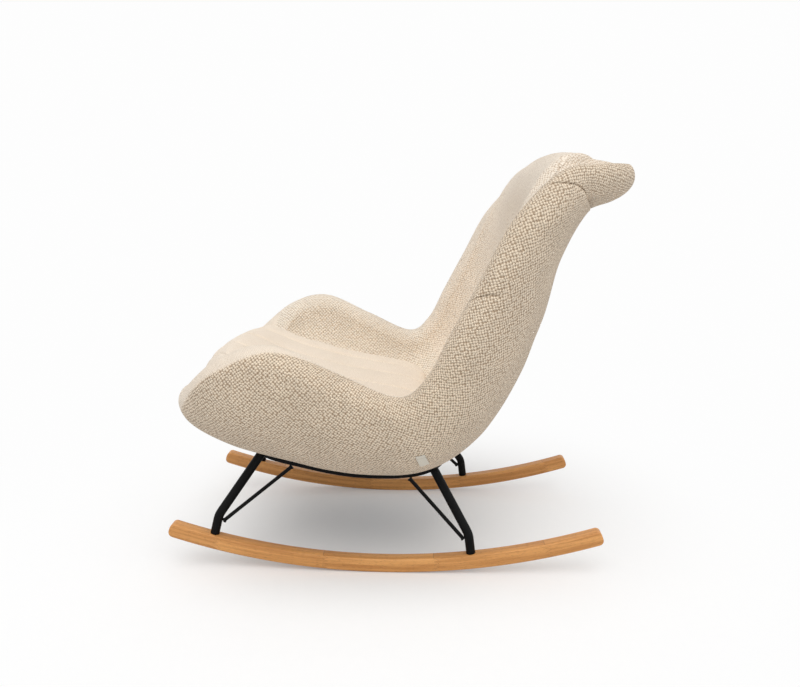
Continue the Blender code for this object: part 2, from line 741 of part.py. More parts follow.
def dust_cover():
    """Cloth over the opening, tacked to the padding round it."""
    margin = DUST_COVER_OVERLAP / half_length_at(OPENING_MIDDLE_U)
    side = OPENING_EDGE_V + margin
    ends = (OPENING_FRONT_U - DUST_COVER_OVERLAP, OPENING_REAR_U + DUST_COVER_OVERLAP)
    layer = Layer(ends, (-side, side))
    top = layer.half + GAP
    return layered_solid("dust_cover", layer.at(-top - DUST_COVER_THICKNESS), layer.at(-top))


PLATE_TOP = DUST_COVER_THICKNESS + 3 * GAP
PLATE_OUTER_X = RING_HALF_WIDTH - RING_DIAMETER / 2 - PLATE_TO_RING


def mount_plate(name, side, rear):
    """Tab welded to the inside of the ring, under a batten."""
    middle_u = batten_middle_u(rear)
    edges = sorted(underside_v(middle_u, side * x) for x in (PLATE_OUTER_X - PLATE_WIDTH, PLATE_OUTER_X))
    layer = Layer((middle_u - PLATE_LENGTH / 2, middle_u + PLATE_LENGTH / 2), edges)
    top = layer.half + PLATE_TOP
    return layered_solid(name, layer.at(-top - PLATE_THICKNESS), layer.at(-top))


def plate_frame(side, rear):
    """Frame on the shell's underside at a plate's bolt, z into the shell, and the batten's height."""
    us = np.array([batten_middle_u(rear)])
    vs = np.array([underside_v(us[0], side * (PLATE_OUTER_X - PLATE_WIDTH + BOLT_INSET))])
    half = half_thickness(us, vs, middle(us, vs)[1])[0, 0]
    return axis_frame(underside(us, vs)[0, 0], normals(us, vs)[0, 0]), half - CORE_THICKNESS / 2 - GAP


def tnut_profile():
    """Flanged nut, from the top of its flange down."""
    flange = TNUT_FLANGE_DIAMETER / 2
    barrel = TNUT_BARREL_DIAMETER / 2
    bore = BOLT_HOLE / 2
    return ((flange, 0), (flange, -TNUT_FLANGE_THICKNESS), (barrel, -TNUT_FLANGE_THICKNESS),
            (barrel, -TNUT_LENGTH), (bore, -TNUT_LENGTH), (bore, 0))


def batten_hole_profile(height):
    """Cutter for a shell bolt: through plate, cover and batten, with the nut's pocket on top."""
    hole = BOLT_HOLE / 2
    barrel = TNUT_BARREL_DIAMETER / 2 + GAP
    pocket = TNUT_FLANGE_DIAMETER / 2 + GAP
    top = height + CUT_OVERRUN
    floor = height - TNUT_POCKET - TNUT_FLANGE_THICKNESS
    neck = height - TNUT_POCKET - TNUT_LENGTH
    low = -PLATE_TOP - PLATE_THICKNESS - CUT_OVERRUN
    return ((0, top), (pocket, top), (pocket, floor), (barrel, floor), (barrel, neck), (hole, neck),
            (hole, low), (0, low))


# Loose cushion and sewn tab

def on_grid(layer, grid, us, vs):
    """Points on the triangles of a layer's grid, for matching arrays of u and v."""
    i = np.clip(np.searchsorted(layer.us, us) - 1, 0, len(layer.us) - 2)
    j = np.clip(np.searchsorted(layer.vs, vs) - 1, 0, len(layer.vs) - 2)
    s = ((us - layer.us[i]) / (layer.us[i + 1] - layer.us[i]))[..., None]
    t = ((vs - layer.vs[j]) / (layer.vs[j + 1] - layer.vs[j]))[..., None]
    a, b, c, d = grid[i, j], grid[i, j + 1], grid[i + 1, j + 1], grid[i + 1, j]
    left = np.where(t >= s, a + (b - a) * t + (c - b) * s, a + (d - a) * s + (c - d) * t)
    right = np.where(s + t <= 1, a + (b - a) * t + (d - a) * s, c + (d - c) * (1 - t) + (b - c) * (1 - s))
    return np.where((layer.vs[j] + layer.vs[j + 1])[..., None] > 0, left, right)


def swell(t, power):
    """Crowned profile: 1 in the middle, 0 at t = -1 and t = 1."""
    return (1 - np.abs(t) ** power) ** (1 / power)


def seat_cushion():
    """Loose cushion on the deck: crowned, drawn in at its ends, sewn into channels front to back."""
    a, b = np.meshgrid(np.linspace(-1, 1, CUSHION_ROWS + 1), np.linspace(-1, 1, CUSHION_COLUMNS + 1),
                       indexing="ij")
    us = CUSHION_FRONT_U + (CUSHION_REAR_U - CUSHION_FRONT_U) * (np.sin(a * math.pi / 2) + 1) / 2
    half_lengths = middle(us[:, 0], np.array([0.0]))[1][:, None]
    along = np.sin(a * math.pi / 2)
    sides = np.minimum(CUSHION_HALF_WIDTH / half_lengths, CUSHION_SIDE_LIMIT)
    share = np.where(along < 0, CUSHION_FRONT_SHARE, CUSHION_REAR_SHARE)
    vs = b * sides * (share + (1 - share) * swell(along, CUSHION_PLAN_ROUNDNESS))
    layer = seat_layer()
    deck = layer.at(layer.half + CUSHION_GAP)
    low = on_grid(layer, deck, us, vs)
    low[..., 2] += CUSHION_FRONT_LIFT * np.clip(1 - us / CUSHION_LIFT_LENGTH, 0, 1)
    seams = (np.arange(CUSHION_CHANNELS - 1) - (CUSHION_CHANNELS - 2) / 2) * 2 / CUSHION_CHANNELS
    on_seam = (np.abs(b[..., None] - seams) < 0.5 / CUSHION_COLUMNS).any(axis=2)
    crown = swell(along, CUSHION_END_ROUNDNESS) * swell(b, CUSHION_SIDE_ROUNDNESS)
    rise = CUSHION_RIM + (CUSHION_HEIGHT - CUSHION_RIM) * crown
    rise = rise - CUSHION_CHANNEL_DEPTH * on_seam * crown
    nose = CUSHION_OVERHANG * np.clip(1 - us / CUSHION_NOSE_LENGTH, 0, 1)
    high = low + np.stack([np.zeros_like(rise), -nose, rise], axis=-1)
    seat = low.reshape(-1, 3).mean(axis=0)
    seat[0] = 0.0
    item = layered_solid("seat_cushion", low - seat, high - seat)
    item.location = seat
    return item


def sewn_tab():
    """Blank cloth tab, sewn flat to the left flank."""
    layer = seat_layer()
    half_length = half_length_at(TAB_U)
    us, vs = np.meshgrid(TAB_U + np.linspace(-0.5, 0.5, TAB_CELLS + 1) * TAB_WIDTH,
                         (TAB_ARC + np.linspace(-0.5, 0.5, TAB_CELLS + 1) * TAB_LENGTH) / half_length,
                         indexing="ij")
    back = on_grid(layer, layer.at(-layer.half - SEAM_GAP), us, vs)
    front = on_grid(layer, layer.at(-layer.half - SEAM_GAP - TAB_THICKNESS), us, vs)
    return layered_solid("sewn_tab", front, back)


# Assembly

def chair_shift():
    """Distance that brings the middle of the chair's depth over the origin."""
    layer = Layer((0, SPINE_LENGTH), (-1, 1))
    y = np.concatenate([layer.at(layer.half)[..., 1].ravel(), layer.at(-layer.half)[..., 1].ravel(),
                        [-RUNNER_LENGTH / 2, RUNNER_LENGTH / 2]])
    return -(y.min() + y.max()) / 2


def make_shell():
    place(shell_core(), PLYWOOD, PANEL_SMOOTH)
    for panel in (outside_bowl(), outside_back(), inside_bowl(), inside_back()):
        place(panel, BEIGE_WEAVE, PANEL_SMOOTH)
    place(seat_cushion(), PALE_WEAVE, PANEL_SMOOTH)
    place(sewn_tab(), CREAM_CLOTH)
    cover = place(dust_cover(), BLACK_CLOTH)
    for rear, end in ((False, "front"), (True, "rear")):
        bar = place(batten("batten_" + end, rear), PLYWOOD)
        for side, label in ((1, "left"), (-1, "right")):
            tag = end + "_" + label
            plate = place(mount_plate("mount_plate_" + tag, side, rear), BLACK_STEEL)
            frame, height = plate_frame(side, rear)
            hole = place_cutter(turned("shell_hole_" + tag, batten_hole_profile(height), frame))
            for piece in (bar, cover, plate):
                cut(piece, hole)
            under_plate = -PLATE_TOP - PLATE_THICKNESS - GAP
            bolt = turned("shell_bolt_" + tag, bolt_profile(height - TNUT_POCKET - under_plate), frame)
            bolt.matrix_local = frame @ Matrix.Translation((0, 0, under_plate))
            place(bolt, ZINC_STEEL, TURNED_SMOOTH)
            nut = turned("t_nut_" + tag, tnut_profile(), frame)
            nut.matrix_local = frame @ Matrix.Translation((0, 0, height - TNUT_POCKET + GAP))
            place(nut, ZINC_STEEL, TURNED_SMOOTH)


def main():
    clear_scene()
    collection(CHAIR)
    collection(CUTTERS)
    origin = bpy.data.objects.new("chair_origin", None)
    bpy.data.collections[CHAIR].objects.link(origin)
    origin.location = (0, chair_shift(), 0)
    make_underframe()
    make_shell()


main()
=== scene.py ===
# %% [markdown]
# # A rocking accent chair
# A padded bucket shell, covered in a chunky beige weave, stands on a black steel underframe and rocks
# on two curved wooden runners. The imported CAD model is the frame: it says where everything is, and
# this lesson dresses it.

# %% Load the frame
import math

import bmesh
import bpy
import numpy as np
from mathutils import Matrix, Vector


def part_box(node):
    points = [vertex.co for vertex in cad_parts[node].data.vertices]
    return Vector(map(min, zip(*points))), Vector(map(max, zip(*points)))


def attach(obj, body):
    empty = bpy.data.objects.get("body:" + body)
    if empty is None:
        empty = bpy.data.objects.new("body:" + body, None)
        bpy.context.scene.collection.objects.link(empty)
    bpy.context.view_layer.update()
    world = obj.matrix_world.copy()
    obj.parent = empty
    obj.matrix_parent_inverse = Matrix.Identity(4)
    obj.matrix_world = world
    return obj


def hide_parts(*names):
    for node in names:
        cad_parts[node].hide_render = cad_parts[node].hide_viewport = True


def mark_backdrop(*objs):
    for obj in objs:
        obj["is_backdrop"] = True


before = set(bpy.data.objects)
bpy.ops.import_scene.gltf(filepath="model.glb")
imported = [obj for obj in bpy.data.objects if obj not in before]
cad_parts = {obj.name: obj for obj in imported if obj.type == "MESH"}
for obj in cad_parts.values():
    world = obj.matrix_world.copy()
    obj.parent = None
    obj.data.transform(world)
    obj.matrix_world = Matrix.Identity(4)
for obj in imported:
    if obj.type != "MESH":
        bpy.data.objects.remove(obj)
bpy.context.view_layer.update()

scene = bpy.context.scene
RUNNER_LOW, RUNNER_HIGH = (np.array(corner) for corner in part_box("runner_left"))
SHIFT = np.array([0.0, (RUNNER_LOW[1] + RUNNER_HIGH[1]) / 2, 0.0])
print("CAD nodes:", len(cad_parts), "and the runners' middle lies at y =", round(SHIFT[1], 4))

# %% [markdown]
# ## The camera
# The photograph was taken from the sitter's left, from a little above the seat. The place, the turn
# and the focal length were found by laying the runners, the feet and the shell's outline over the
# photograph. The focal length is in pixels of an image 800 wide, and a camera's lens is that times the
# sensor's width over the image's.

# %% Camera
CAMERA_PLACE = np.array([1.6524, 0.0966, 0.7709]) + SHIFT
CAMERA_YAW = -0.043785
CAMERA_PITCH = 0.19716
FOCAL_PIXELS = 741.39
IMAGE_WIDTH = 800


def aim(place, yaw, pitch, focal):
    """A camera at place that looks along -X, turned by yaw and tipped down by pitch."""
    lens = bpy.data.cameras.new("photo_camera")
    lens.sensor_fit = "HORIZONTAL"
    lens.sensor_width = 36.0
    lens.lens = focal * lens.sensor_width / IMAGE_WIDTH
    lens.clip_end = 60.0
    ahead = Vector((-math.cos(yaw) * math.cos(pitch), math.sin(yaw) * math.cos(pitch), -math.sin(pitch)))
    item = bpy.data.objects.new("photo_camera", lens)
    item.location = place
    item.rotation_euler = ahead.to_track_quat("-Z", "Y").to_euler()
    scene.collection.objects.link(item)
    return item


scene.camera = aim(CAMERA_PLACE, CAMERA_YAW, CAMERA_PITCH, FOCAL_PIXELS)
print("lens:", round(scene.camera.data.lens, 2), "mm")

# %% [markdown]
# ## Shader maths
# Node materials get long when every sum is a node placed by hand. This small class wraps one output
# socket, so that a sum is written as a sum, and each operator adds its Math node. Every other node
# comes from one method: its settings first, then what goes into its sockets.

# %% A socket that can do arithmetic


class Socket:
    """One output of a node, with operators that add Math nodes."""

    def __init__(self, tree, output):
        self.tree = tree
        self.output = output

    def node(self, kind, inputs=None, output=0, **settings):
        """A new node of a kind, with its settings set first and then its inputs filled."""
        made = self.tree.nodes.new("ShaderNode" + kind)
        for key, value in settings.items():
            setattr(made, key, value)
        for key, value in (inputs or {}).items():
            if isinstance(value, Socket):
                self.tree.links.new(value.output, made.inputs[key])
            else:
                made.inputs[key].default_value = value
        return Socket(self.tree, made.outputs[output])

    def math(self, operation, *others):
        return self.node("Math", dict(enumerate((self, *others))), operation=operation)

    def reflected(self, operation, other):
        return self.node("Math", {0: other, 1: self}, operation=operation)

    def __add__(self, other):
        return self.math("ADD", other)

    def __radd__(self, other):
        return self.reflected("ADD", other)

    def __sub__(self, other):
        return self.math("SUBTRACT", other)

    def __rsub__(self, other):
        return self.reflected("SUBTRACT", other)

    def __mul__(self, other):
        return self.math("MULTIPLY", other)

    def __rmul__(self, other):
        return self.reflected("MULTIPLY", other)

    def __truediv__(self, other):
        return self.math("DIVIDE", other)


def mix_colour(factor, low, high):
    """Colour low where factor is 0 and high where it is 1."""
    colours = [colour if isinstance(colour, Socket) else (*colour, 1.0) for colour in (low, high)]
    return factor.node("Mix", {0: factor, 6: colours[0], 7: colours[1]}, output=2, data_type="RGBA")


def smooth_step(value, low, high):
    """0 below low, 1 above high, and a soft rise between them."""
    return value.node("MapRange", {"Value": value, "From Min": low, "From Max": high},
                      interpolation_type="SMOOTHSTEP")


def noise(vector, scale, detail=2.0, roughness=0.5):
    """Cloudy values around a half."""
    return vector.node("TexNoise", {"Vector": vector, "Scale": scale, "Detail": detail,
                                    "Roughness": roughness})


class Finish:
    """A new material: its shader, and sockets to start expressions from."""

    def __init__(self, name):
        self.material = bpy.data.materials.new(name)
        self.material.use_nodes = True
        self.tree = self.material.node_tree
        self.shader = self.tree.nodes["Principled BSDF"]
        self.start = Socket(self.tree, None)

    def place(self):
        """The piece's own coordinates, in metres, which are the chair's."""
        return self.start.node("TexCoord", output="Object")

    def cloth(self):
        """Metres along and across the cloth, from the piece's own map."""
        flat = self.start.node("UVMap", uv_map="cloth")
        return split(flat)[:2]

    def set(self, **values):
        """Plug or set the shader's inputs; underscores in the names stand for spaces."""
        for key, value in values.items():
            target = self.shader.inputs[key.replace("_", " ")]
            if isinstance(value, Socket):
                self.tree.links.new(value.output, target)
            else:
                target.default_value = (*value, 1.0) if isinstance(value, tuple) else value
        return self.material


def split(vector):
    """The x, y and z of a vector."""
    return [vector.node("SeparateXYZ", {0: vector}, output=k) for k in range(3)]


def join(x, y, z):
    start = next(part for part in (x, y, z) if isinstance(part, Socket))
    return start.node("CombineXYZ", {0: x, 1: y, 2: z})


def relief(height, distance, strength=1.0):
    """Bumps from a height of 0 to 1 that stands for a distance in metres."""
    return height.node("Bump", {"Strength": strength, "Distance": distance, "Height": height})


print("shader helpers ready")

# %% [markdown]
# ## Light and floor
# The photograph is a studio picture: white paper, soft light from above, and a grey shadow under the
# chair. A broad sun, a weak one low behind the chair and an even sky do this at a plain level, where
# white paper comes out just short of white. Only camera, mirror and glass rays see the sky as white;
# the rest of it is dimmer.

# %% Sky, sun and paper floor
SKY_LEVEL = 0.60
SUN_STRENGTH = 1.45
REAR_STRENGTH = 0.40
SUN_SPREAD = 55.0
PAPER = 0.97
BOUNCE = 0.70
WHITE = 0.985
SHADOW_MIDDLE = (0.0, -0.08, 0.0)
SHADOW_REACH = 1.15
SHADOW_LIFT = 0.08


def light_sky():
    world = scene.world or bpy.data.worlds.new("studio")
    scene.world = world
    world.use_nodes = True
    tree = world.node_tree
    tree.nodes.clear()
    start = Socket(tree, None)
    seen = start.node("LightPath", output="Is Camera Ray")
    for ray in ("Is Glossy Ray", "Is Transmission Ray"):
        seen = seen.math("MAXIMUM", start.node("LightPath", output=ray))
    dim = start.node("Background", {"Color": (1.0, 1.0, 1.0, 1.0), "Strength": SKY_LEVEL})
    white = start.node("Background", {"Color": (WHITE, WHITE, WHITE, 1.0), "Strength": 1.0})
    both = start.node("MixShader", {0: seen, 1: dim, 2: white})
    out = tree.nodes.new("ShaderNodeOutputWorld")
    tree.links.new(both.output, out.inputs["Surface"])


def add_sun(name, strength, spread, towards):
    lamp = bpy.data.lights.new(name, "SUN")
    lamp.energy = strength
    lamp.angle = math.radians(spread)
    item = bpy.data.objects.new(name, lamp)
    item.rotation_euler = Vector(towards).to_track_quat("-Z", "Y").to_euler()
    scene.collection.objects.link(item)
    return item


def paper_finish():
    """Matt paper near the chair, which fades into the sky's own white for the rays that see it. That white
    is a painted glow mixed over the paper, a little of it even at the shadow's middle, which lightens the
    chair's cast shadow.
    """
    finish = Finish("studio_paper")
    spot = finish.place()
    fibre = noise(spot, 40.0, 3.0)
    seen = spot.node("LightPath", output="Is Camera Ray")
    tone = mix_colour(fibre, (PAPER - 0.01,) * 3, (PAPER + 0.01,) * 3)
    tone = mix_colour(seen, (BOUNCE,) * 3, tone)
    material = finish.set(Base_Color=tone, Roughness=0.95, Specular_IOR_Level=0.0)
    # painted light: a white glow, least at the shadow's middle and growing with the distance from it, is
    # mixed over the paper and lightens the chair's cast shadow
    away = spot.node("VectorMath", {0: spot, 1: SHADOW_MIDDLE}, output="Value", operation="DISTANCE")
    far = smooth_step(away, 0.0, SHADOW_REACH) * (1 - SHADOW_LIFT) + SHADOW_LIFT
    far = far * seen
    white = spot.node("Emission", {"Color": (WHITE, WHITE, WHITE, 1.0), "Strength": 1.0})
    paper = Socket(finish.tree, finish.shader.outputs[0])
    both = spot.node("MixShader", {0: far, 1: paper, 2: white})
    finish.tree.links.new(both.output, finish.tree.nodes["Material Output"].inputs["Surface"])
    return material


def paper_floor(size=60.0, cells=8):
    """A flat square grid a hair under the runners."""
    line = np.linspace(-size / 2, size / 2, cells + 1)
    x, y = np.meshgrid(line, line, indexing="ij")
    points = np.stack([x, y, np.full_like(x, -0.0002)], axis=-1).reshape(-1, 3)
    index = np.arange((cells + 1) ** 2).reshape(cells + 1, cells + 1)
    quads = np.stack([index[:-1, :-1], index[1:, :-1], index[1:, 1:], index[:-1, 1:]], axis=-1)
    mesh = bpy.data.meshes.new("floor")
    mesh.from_pydata(points.tolist(), [], quads.reshape(-1, 4).tolist())
    mesh.materials.append(paper_finish())
    item = bpy.data.objects.new("floor", mesh)
    scene.collection.objects.link(item)
    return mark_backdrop(item)


light_sky()
add_sun("overhead_light", SUN_STRENGTH, SUN_SPREAD, (-0.42, 0.10, -1.0))
add_sun("low_rear_light", REAR_STRENGTH, SUN_SPREAD, (-0.50, -0.85, -0.35))
paper_floor()
scene.view_settings.view_transform = "Standard"
print("sky", SKY_LEVEL, "suns", SUN_STRENGTH, REAR_STRENGTH)

# %% [markdown]
# ## Cloth
# The shell's cover is a basket weave of thick, uneven yarn. On every other cell of the weave a yarn
# floats on top as a pale hump; between the floats the crossing yarns lie lower, and they and the holes
# where they part are painted darker, as painted shade for the weave's hollows. The pattern is worked out
# from metres along and across the cloth, which each piece carries as a map, so the yarn keeps its size
# wherever the cover bends. The shell's cloth comes as lit and shaded copies of one weave: the inside of
# the back, which is also flatter, and the inside of the bowl are painted paler as painted light, and the
# outside is painted darker as painted shade. The loose cushion has a finer, paler
# weave, and a band of that cloth binds the shell's front edge.

# %% Woven finishes
YARN_PITCH = 0.0036
INSIDE_BACK_PITCH = 0.0034
ARM_PITCH = 0.0043
FINE_PITCH = 0.0021
FLOAT_HALF_LENGTH = 0.84
FLOAT_HALF_WIDTH = 0.72


def hill(t):
    """A parabola that is 1 at t = 0, and 0 from t = 1 or -1 on."""
    return (1 - t * t).math("MAXIMUM", 0.0)


def weave_floats(along, across, pitch, jitter):
    """Height of the yarns from 0 to 1, and how much of it is a float that lies on top.

    Floats sit on every other cell of the weave, which is a square lattice on its corner: p and q are
    its axes. Voronoi cells with a little randomness give each float its own place and its own chance.
    A float is a hump, one parabola along the yarn times a narrower one across it.
    """
    a = along / pitch
    b = across / pitch
    p = (a + b) / 2
    q = (a - b) / 2
    spot = {"Vector": join(p, q, 0.0), "Scale": 1.0, "Randomness": jitter}
    centre = split(a.node("TexVoronoi", spot, output="Position", voronoi_dimensions="2D"))
    chance = split(a.node("TexVoronoi", spot, output="Color", voronoi_dimensions="2D"))[0]
    off_p, off_q = p - centre[0], q - centre[1]
    lengthwise = (off_p + off_q) / FLOAT_HALF_LENGTH
    crosswise = (off_p - off_q) / FLOAT_HALF_WIDTH
    on_top = hill(lengthwise) * hill(crosswise) * (chance * 0.5 + 0.65)
    under = (a * (2 * math.pi)).math("COSINE") * 0.05 + 0.22
    return on_top.math("MAXIMUM", under), on_top


class Yarn:
    """One weave: the size of its cells, its three colours, and how far its rows wander. Its low and hole
    colours are painted shade for the weave's hollows.
    """

    def __init__(self, pitch, hole, low, high, jitter=0.40):
        self.pitch, self.hole, self.low, self.high, self.jitter = pitch, hole, low, high, jitter

    def look(self, along, across):
        """Colour and height at a place on the cloth."""
        flat = join(along, across, 0.0)
        drift_a, drift_b = ((noise(spot, 26.0, 2.0) - 0.5) * (self.pitch * 2)
                            for spot in (flat, join(across, along, 3.7)))
        height, on_top = weave_floats(along + drift_a, across + drift_b, self.pitch, self.jitter)
        fuzz = noise(flat, 1 / (self.pitch * 0.22), 3.0, 0.65)
        slub = noise(join(along * 0.25, across, 1.3), 1 / (self.pitch * 1.6), 2.0)
        height = height * 0.85 + fuzz * 0.26 - 0.10
        # painted shade: yarns that lie lower get the darker low colour, and the holes between them the
        # darkest, standing in for the shade in the weave's hollows
        yarn = mix_colour(smooth_step(on_top + slub * 0.30, 0.15, 0.80), self.low, self.high)
        colour = mix_colour(smooth_step(height, 0.04, 0.30), self.hole, yarn)
        cloud = smooth_step(noise(flat, 9.0, 3.0), 0.30, 0.75)
        return mix_colour(cloud * 0.10, colour, self.hole), height


def woven(name, yarn, depth, band=None):
    """Woven cloth. Where the piece's fine_band attribute is 1, the band's yarn takes over."""
    finish = Finish(name)
    along, across = finish.cloth()
    colour, height = yarn.look(along, across)
    if band is not None:
        share = finish.start.node("Attribute", output="Fac", attribute_name="fine_band")
        band_colour, band_height = band.look(along, across)
        colour = mix_colour(share, colour, band_colour)
        height = height * (1 - share) + band_height * share * 0.35
    rough = smooth_step(height, 0.0, 1.0) * -0.12 + 0.98
    return finish.set(Base_Color=colour, Roughness=rough, Normal=relief(height, depth),
                      Specular_IOR_Level=0.12, Sheen_Weight=0.25, Sheen_Roughness=0.6)


# Lit and shaded copies of one cloth: the outside's colours are painted darker as painted shade, the inside
# back's and the inside bowl's paler as painted light.
SHADED_OUTER_YARN = Yarn(YARN_PITCH, (0.12, 0.075, 0.042), (0.565, 0.412, 0.276), (1.0, 0.838, 0.642))
LIT_INSIDE_BACK_YARN = Yarn(INSIDE_BACK_PITCH, (0.38, 0.285, 0.200), (0.80, 0.660, 0.520), (1.0, 0.890, 0.750))
LIT_ARM_YARN = Yarn(ARM_PITCH, (0.25, 0.172, 0.110), (0.86, 0.715, 0.555), (1.0, 0.905, 0.770), 0.30)
CUSHION_YARN = Yarn(FINE_PITCH, (0.54, 0.430, 0.320), (0.86, 0.725, 0.575), (0.97, 0.855, 0.720), 0.30)
SHADED_BEIGE_WEAVE = woven("shaded_beige_basket_weave", SHADED_OUTER_YARN, 0.0030, CUSHION_YARN)
LIT_INSIDE_BACK_WEAVE = woven("lit_inside_back_basket_weave", LIT_INSIDE_BACK_YARN, 0.0016, CUSHION_YARN)
LIT_ARM_WEAVE = woven("lit_arm_basket_weave", LIT_ARM_YARN, 0.0026, CUSHION_YARN)
PALE_WEAVE = woven("pale_fine_weave", CUSHION_YARN, 0.0008)
print("woven finishes:", [weave.name for weave in (SHADED_BEIGE_WEAVE, LIT_INSIDE_BACK_WEAVE, LIT_ARM_WEAVE, PALE_WEAVE)])

# %% [markdown]
# ## The shell's middle surface
# The padding lies on both sides of one bent surface. Its spine runs from the front lip, along the seat
# and up the back to the head; at each station across it, a cross-section runs up to the left and right
# edges as a quarter of a super-ellipse, which is an ellipse with squarer shoulders. The stations are
# the part's own, so that the cloth lies where the CAD solids are.

# %% Stations and the middle surface
STATIONS = np.array((
    (-0.398, 0.372, 0.175, -0.376, 0.386, 2.6, 0.110, 0.100),
    (-0.358, 0.335, 0.280, -0.342, 0.420, 2.8, 0.100, 0.092),
    (-0.284, 0.291, 0.340, -0.286, 0.482, 2.9, 0.088, 0.080),
    (-0.184, 0.258, 0.354, -0.193, 0.505, 2.9, 0.084, 0.076),
    (-0.049, 0.234, 0.354, -0.077, 0.456, 2.9, 0.082, 0.076),
    (0.081, 0.242, 0.347, 0.034, 0.410, 2.8, 0.076, 0.076),
    (0.178, 0.299, 0.344, 0.088, 0.447, 2.6, 0.068, 0.076),
    (0.248, 0.400, 0.344, 0.130, 0.528, 2.4, 0.064, 0.076),
    (0.295, 0.530, 0.342, 0.180, 0.623, 2.3, 0.069, 0.076),
    (0.320, 0.662, 0.332, 0.238, 0.731, 2.2, 0.092, 0.076),
    (0.357, 0.780, 0.303, 0.320, 0.812, 2.2, 0.150, 0.074),
    (0.416, 0.785, 0.256, 0.394, 0.826, 2.2, 0.088, 0.064),
    (0.498, 0.787, 0.190, 0.468, 0.829, 2.2, 0.046, 0.048),
))
LIP_RADIUS = 0.060
HEAD_RADIUS = 0.050
EDGE_ROLL_RADIUS = 0.040
BACK_SEAM_U = 0.600
OUTWARDS, INWARDS = -1, 1


def spline(table, positions):
    """Catmull-Rom curve through the rows of table, at positions counted in rows."""
    padded = np.vstack([2 * table[0] - table[1], table, 2 * table[-1] - table[-2]])
    positions = np.clip(positions, 0.0, len(table) - 1 - 1e-9)
    row = np.floor(positions).astype(int)
    t = (positions - row)[:, None]
    a, b, c, d = (padded[row + k] for k in range(4))
    return 0.5 * (2 * b + (c - a) * t + (2 * a - 5 * b + 4 * c - d) * t ** 2
                  + (3 * b - a - 3 * c + d) * t ** 3)


def lengths(points):
    """Distance along each line of points from its start; the lines run along the first axis."""
    steps = np.linalg.norm(np.diff(points, axis=0), axis=-1)
    return np.concatenate([np.zeros((1,) + steps.shape[1:]), np.cumsum(steps, axis=0)])


def lane_interp(query, places, values):
    """Row by row linear interpolation: each row of query is looked up in the same row of places."""
    low = places.min()
    lanes = (places.max() - low + 1.0) * np.arange(len(places))[:, None]
    found = np.interp((query - low + lanes).ravel(), (places - low + lanes).ravel(), values.ravel())
    return found.reshape(query.shape)


def looked_up(query, places, table):
    """Every column of a table, interpolated at the queries between the places of its rows."""
    return np.stack([np.interp(query, places, column) for column in table.T], axis=-1)


SPINE_POSITIONS = np.linspace(0, len(STATIONS) - 1, 600)
SPINE_ARC = lengths(spline(STATIONS, SPINE_POSITIONS)[:, :2])
SPINE_LENGTH = float(SPINE_ARC[-1])


def station_rows(us):
    return spline(STATIONS, np.interp(us, SPINE_ARC, SPINE_POSITIONS))


def middle(us, vs, samples=400):
    """Points of the middle surface, and the length of each half cross-section.

    u is metres along the spine, and v runs from -1 at the right edge to 1 at the left, by arc length.
    A section's radius at an angle is the super-ellipse (sin/width)^p + (cos/depth)^p to the power -1/p.
    """
    spine_y, spine_z, edge_x, edge_y, edge_z, power = (station_rows(us)[:, k, None] for k in range(6))
    vs = np.broadcast_to(vs, (len(us), np.shape(vs)[-1]))
    depth = np.hypot(edge_y - spine_y, edge_z - spine_z)
    angle = np.linspace(0, np.pi / 2, samples)[None]
    radius = ((np.sin(angle) / edge_x) ** power + (np.cos(angle) / depth) ** power) ** (-1 / power)
    x = radius * np.sin(angle)
    rise = 1 - radius * np.cos(angle) / depth
    steps = np.hypot(np.diff(x, axis=1), np.diff(rise, axis=1) * depth)
    arc = np.concatenate([np.zeros((len(us), 1)), np.cumsum(steps, axis=1)], axis=1)
    share = arc / arc[:, -1:]
    lift = lane_interp(np.abs(vs), share, rise)
    out = np.sign(vs) * lane_interp(np.abs(vs), share, x)
    points = np.stack([out, spine_y + (edge_y - spine_y) * lift, spine_z + (edge_z - spine_z) * lift], -1)
    return points, arc[:, -1:]


def half_section(u):
    """Length of half the cross-section at one place along the spine."""
    return middle(np.array([u]), np.array([0.0]))[1][0, 0]


def towards_sitter(us, vs, du=0.004, dv=0.01):
    """Unit normals of the middle surface on the sitter's side: across times along."""
    along = middle(np.minimum(us + du, SPINE_LENGTH), vs)[0] - middle(np.maximum(us - du, 0), vs)[0]
    across = middle(us, np.minimum(vs + dv, 1))[0] - middle(us, np.maximum(vs - dv, -1))[0]
    normal = np.cross(across, along)
    return normal / np.linalg.norm(normal, axis=2, keepdims=True)


def rounded(distance, radius):
    """Quarter-round rise from 0 at an edge to 1 a radius away from it."""
    t = 1 - np.clip(distance / radius, 0, 1)
    return np.sqrt(np.clip(1 - t ** 2, 0, 1))


def half_thickness(us, vs, half_lengths):
    """Half the padding's thickness: thick in the middle, rolled off to nothing at every edge."""
    rows = station_rows(us)
    vs = np.broadcast_to(vs, (len(us), np.shape(vs)[-1]))
    thickness = rows[:, 6:7] + (rows[:, 7:8] - rows[:, 6:7]) * vs ** 2
    ends = rounded(us, LIP_RADIUS) * rounded(SPINE_LENGTH - us, HEAD_RADIUS)
    return thickness * ends[:, None] * rounded((1 - np.abs(vs)) * half_lengths, EDGE_ROLL_RADIUS) / 2


def face_points(us, vs, side, lift=0.0):
    """Points of the face on a side, OUTWARDS or INWARDS, raised by lift, and the normals there."""
    points, half_lengths = middle(us, vs)
    normal = towards_sitter(us, vs) * side
    height = half_thickness(us, vs, half_lengths) + lift
    return points + normal * height[..., None] + SHIFT, normal


print("spine:", round(SPINE_LENGTH, 3), "m from lip to head")

# %% [markdown]
# ## From grids to meshes
# Every piece below is a grid of points, or two grids joined round their rim. These helpers turn whole
# arrays into a mesh, give it its map of metres along and across the cloth, and shade it smooth up to a
# chosen angle.

# %% Mesh helpers


def grid_quads(index, flip=False):
    """Quads over a grid of point numbers."""
    corners = [index[:-1, :-1], index[:-1, 1:], index[1:, 1:], index[1:, :-1]]
    return np.stack(corners[::-1] if flip else corners, axis=-1)


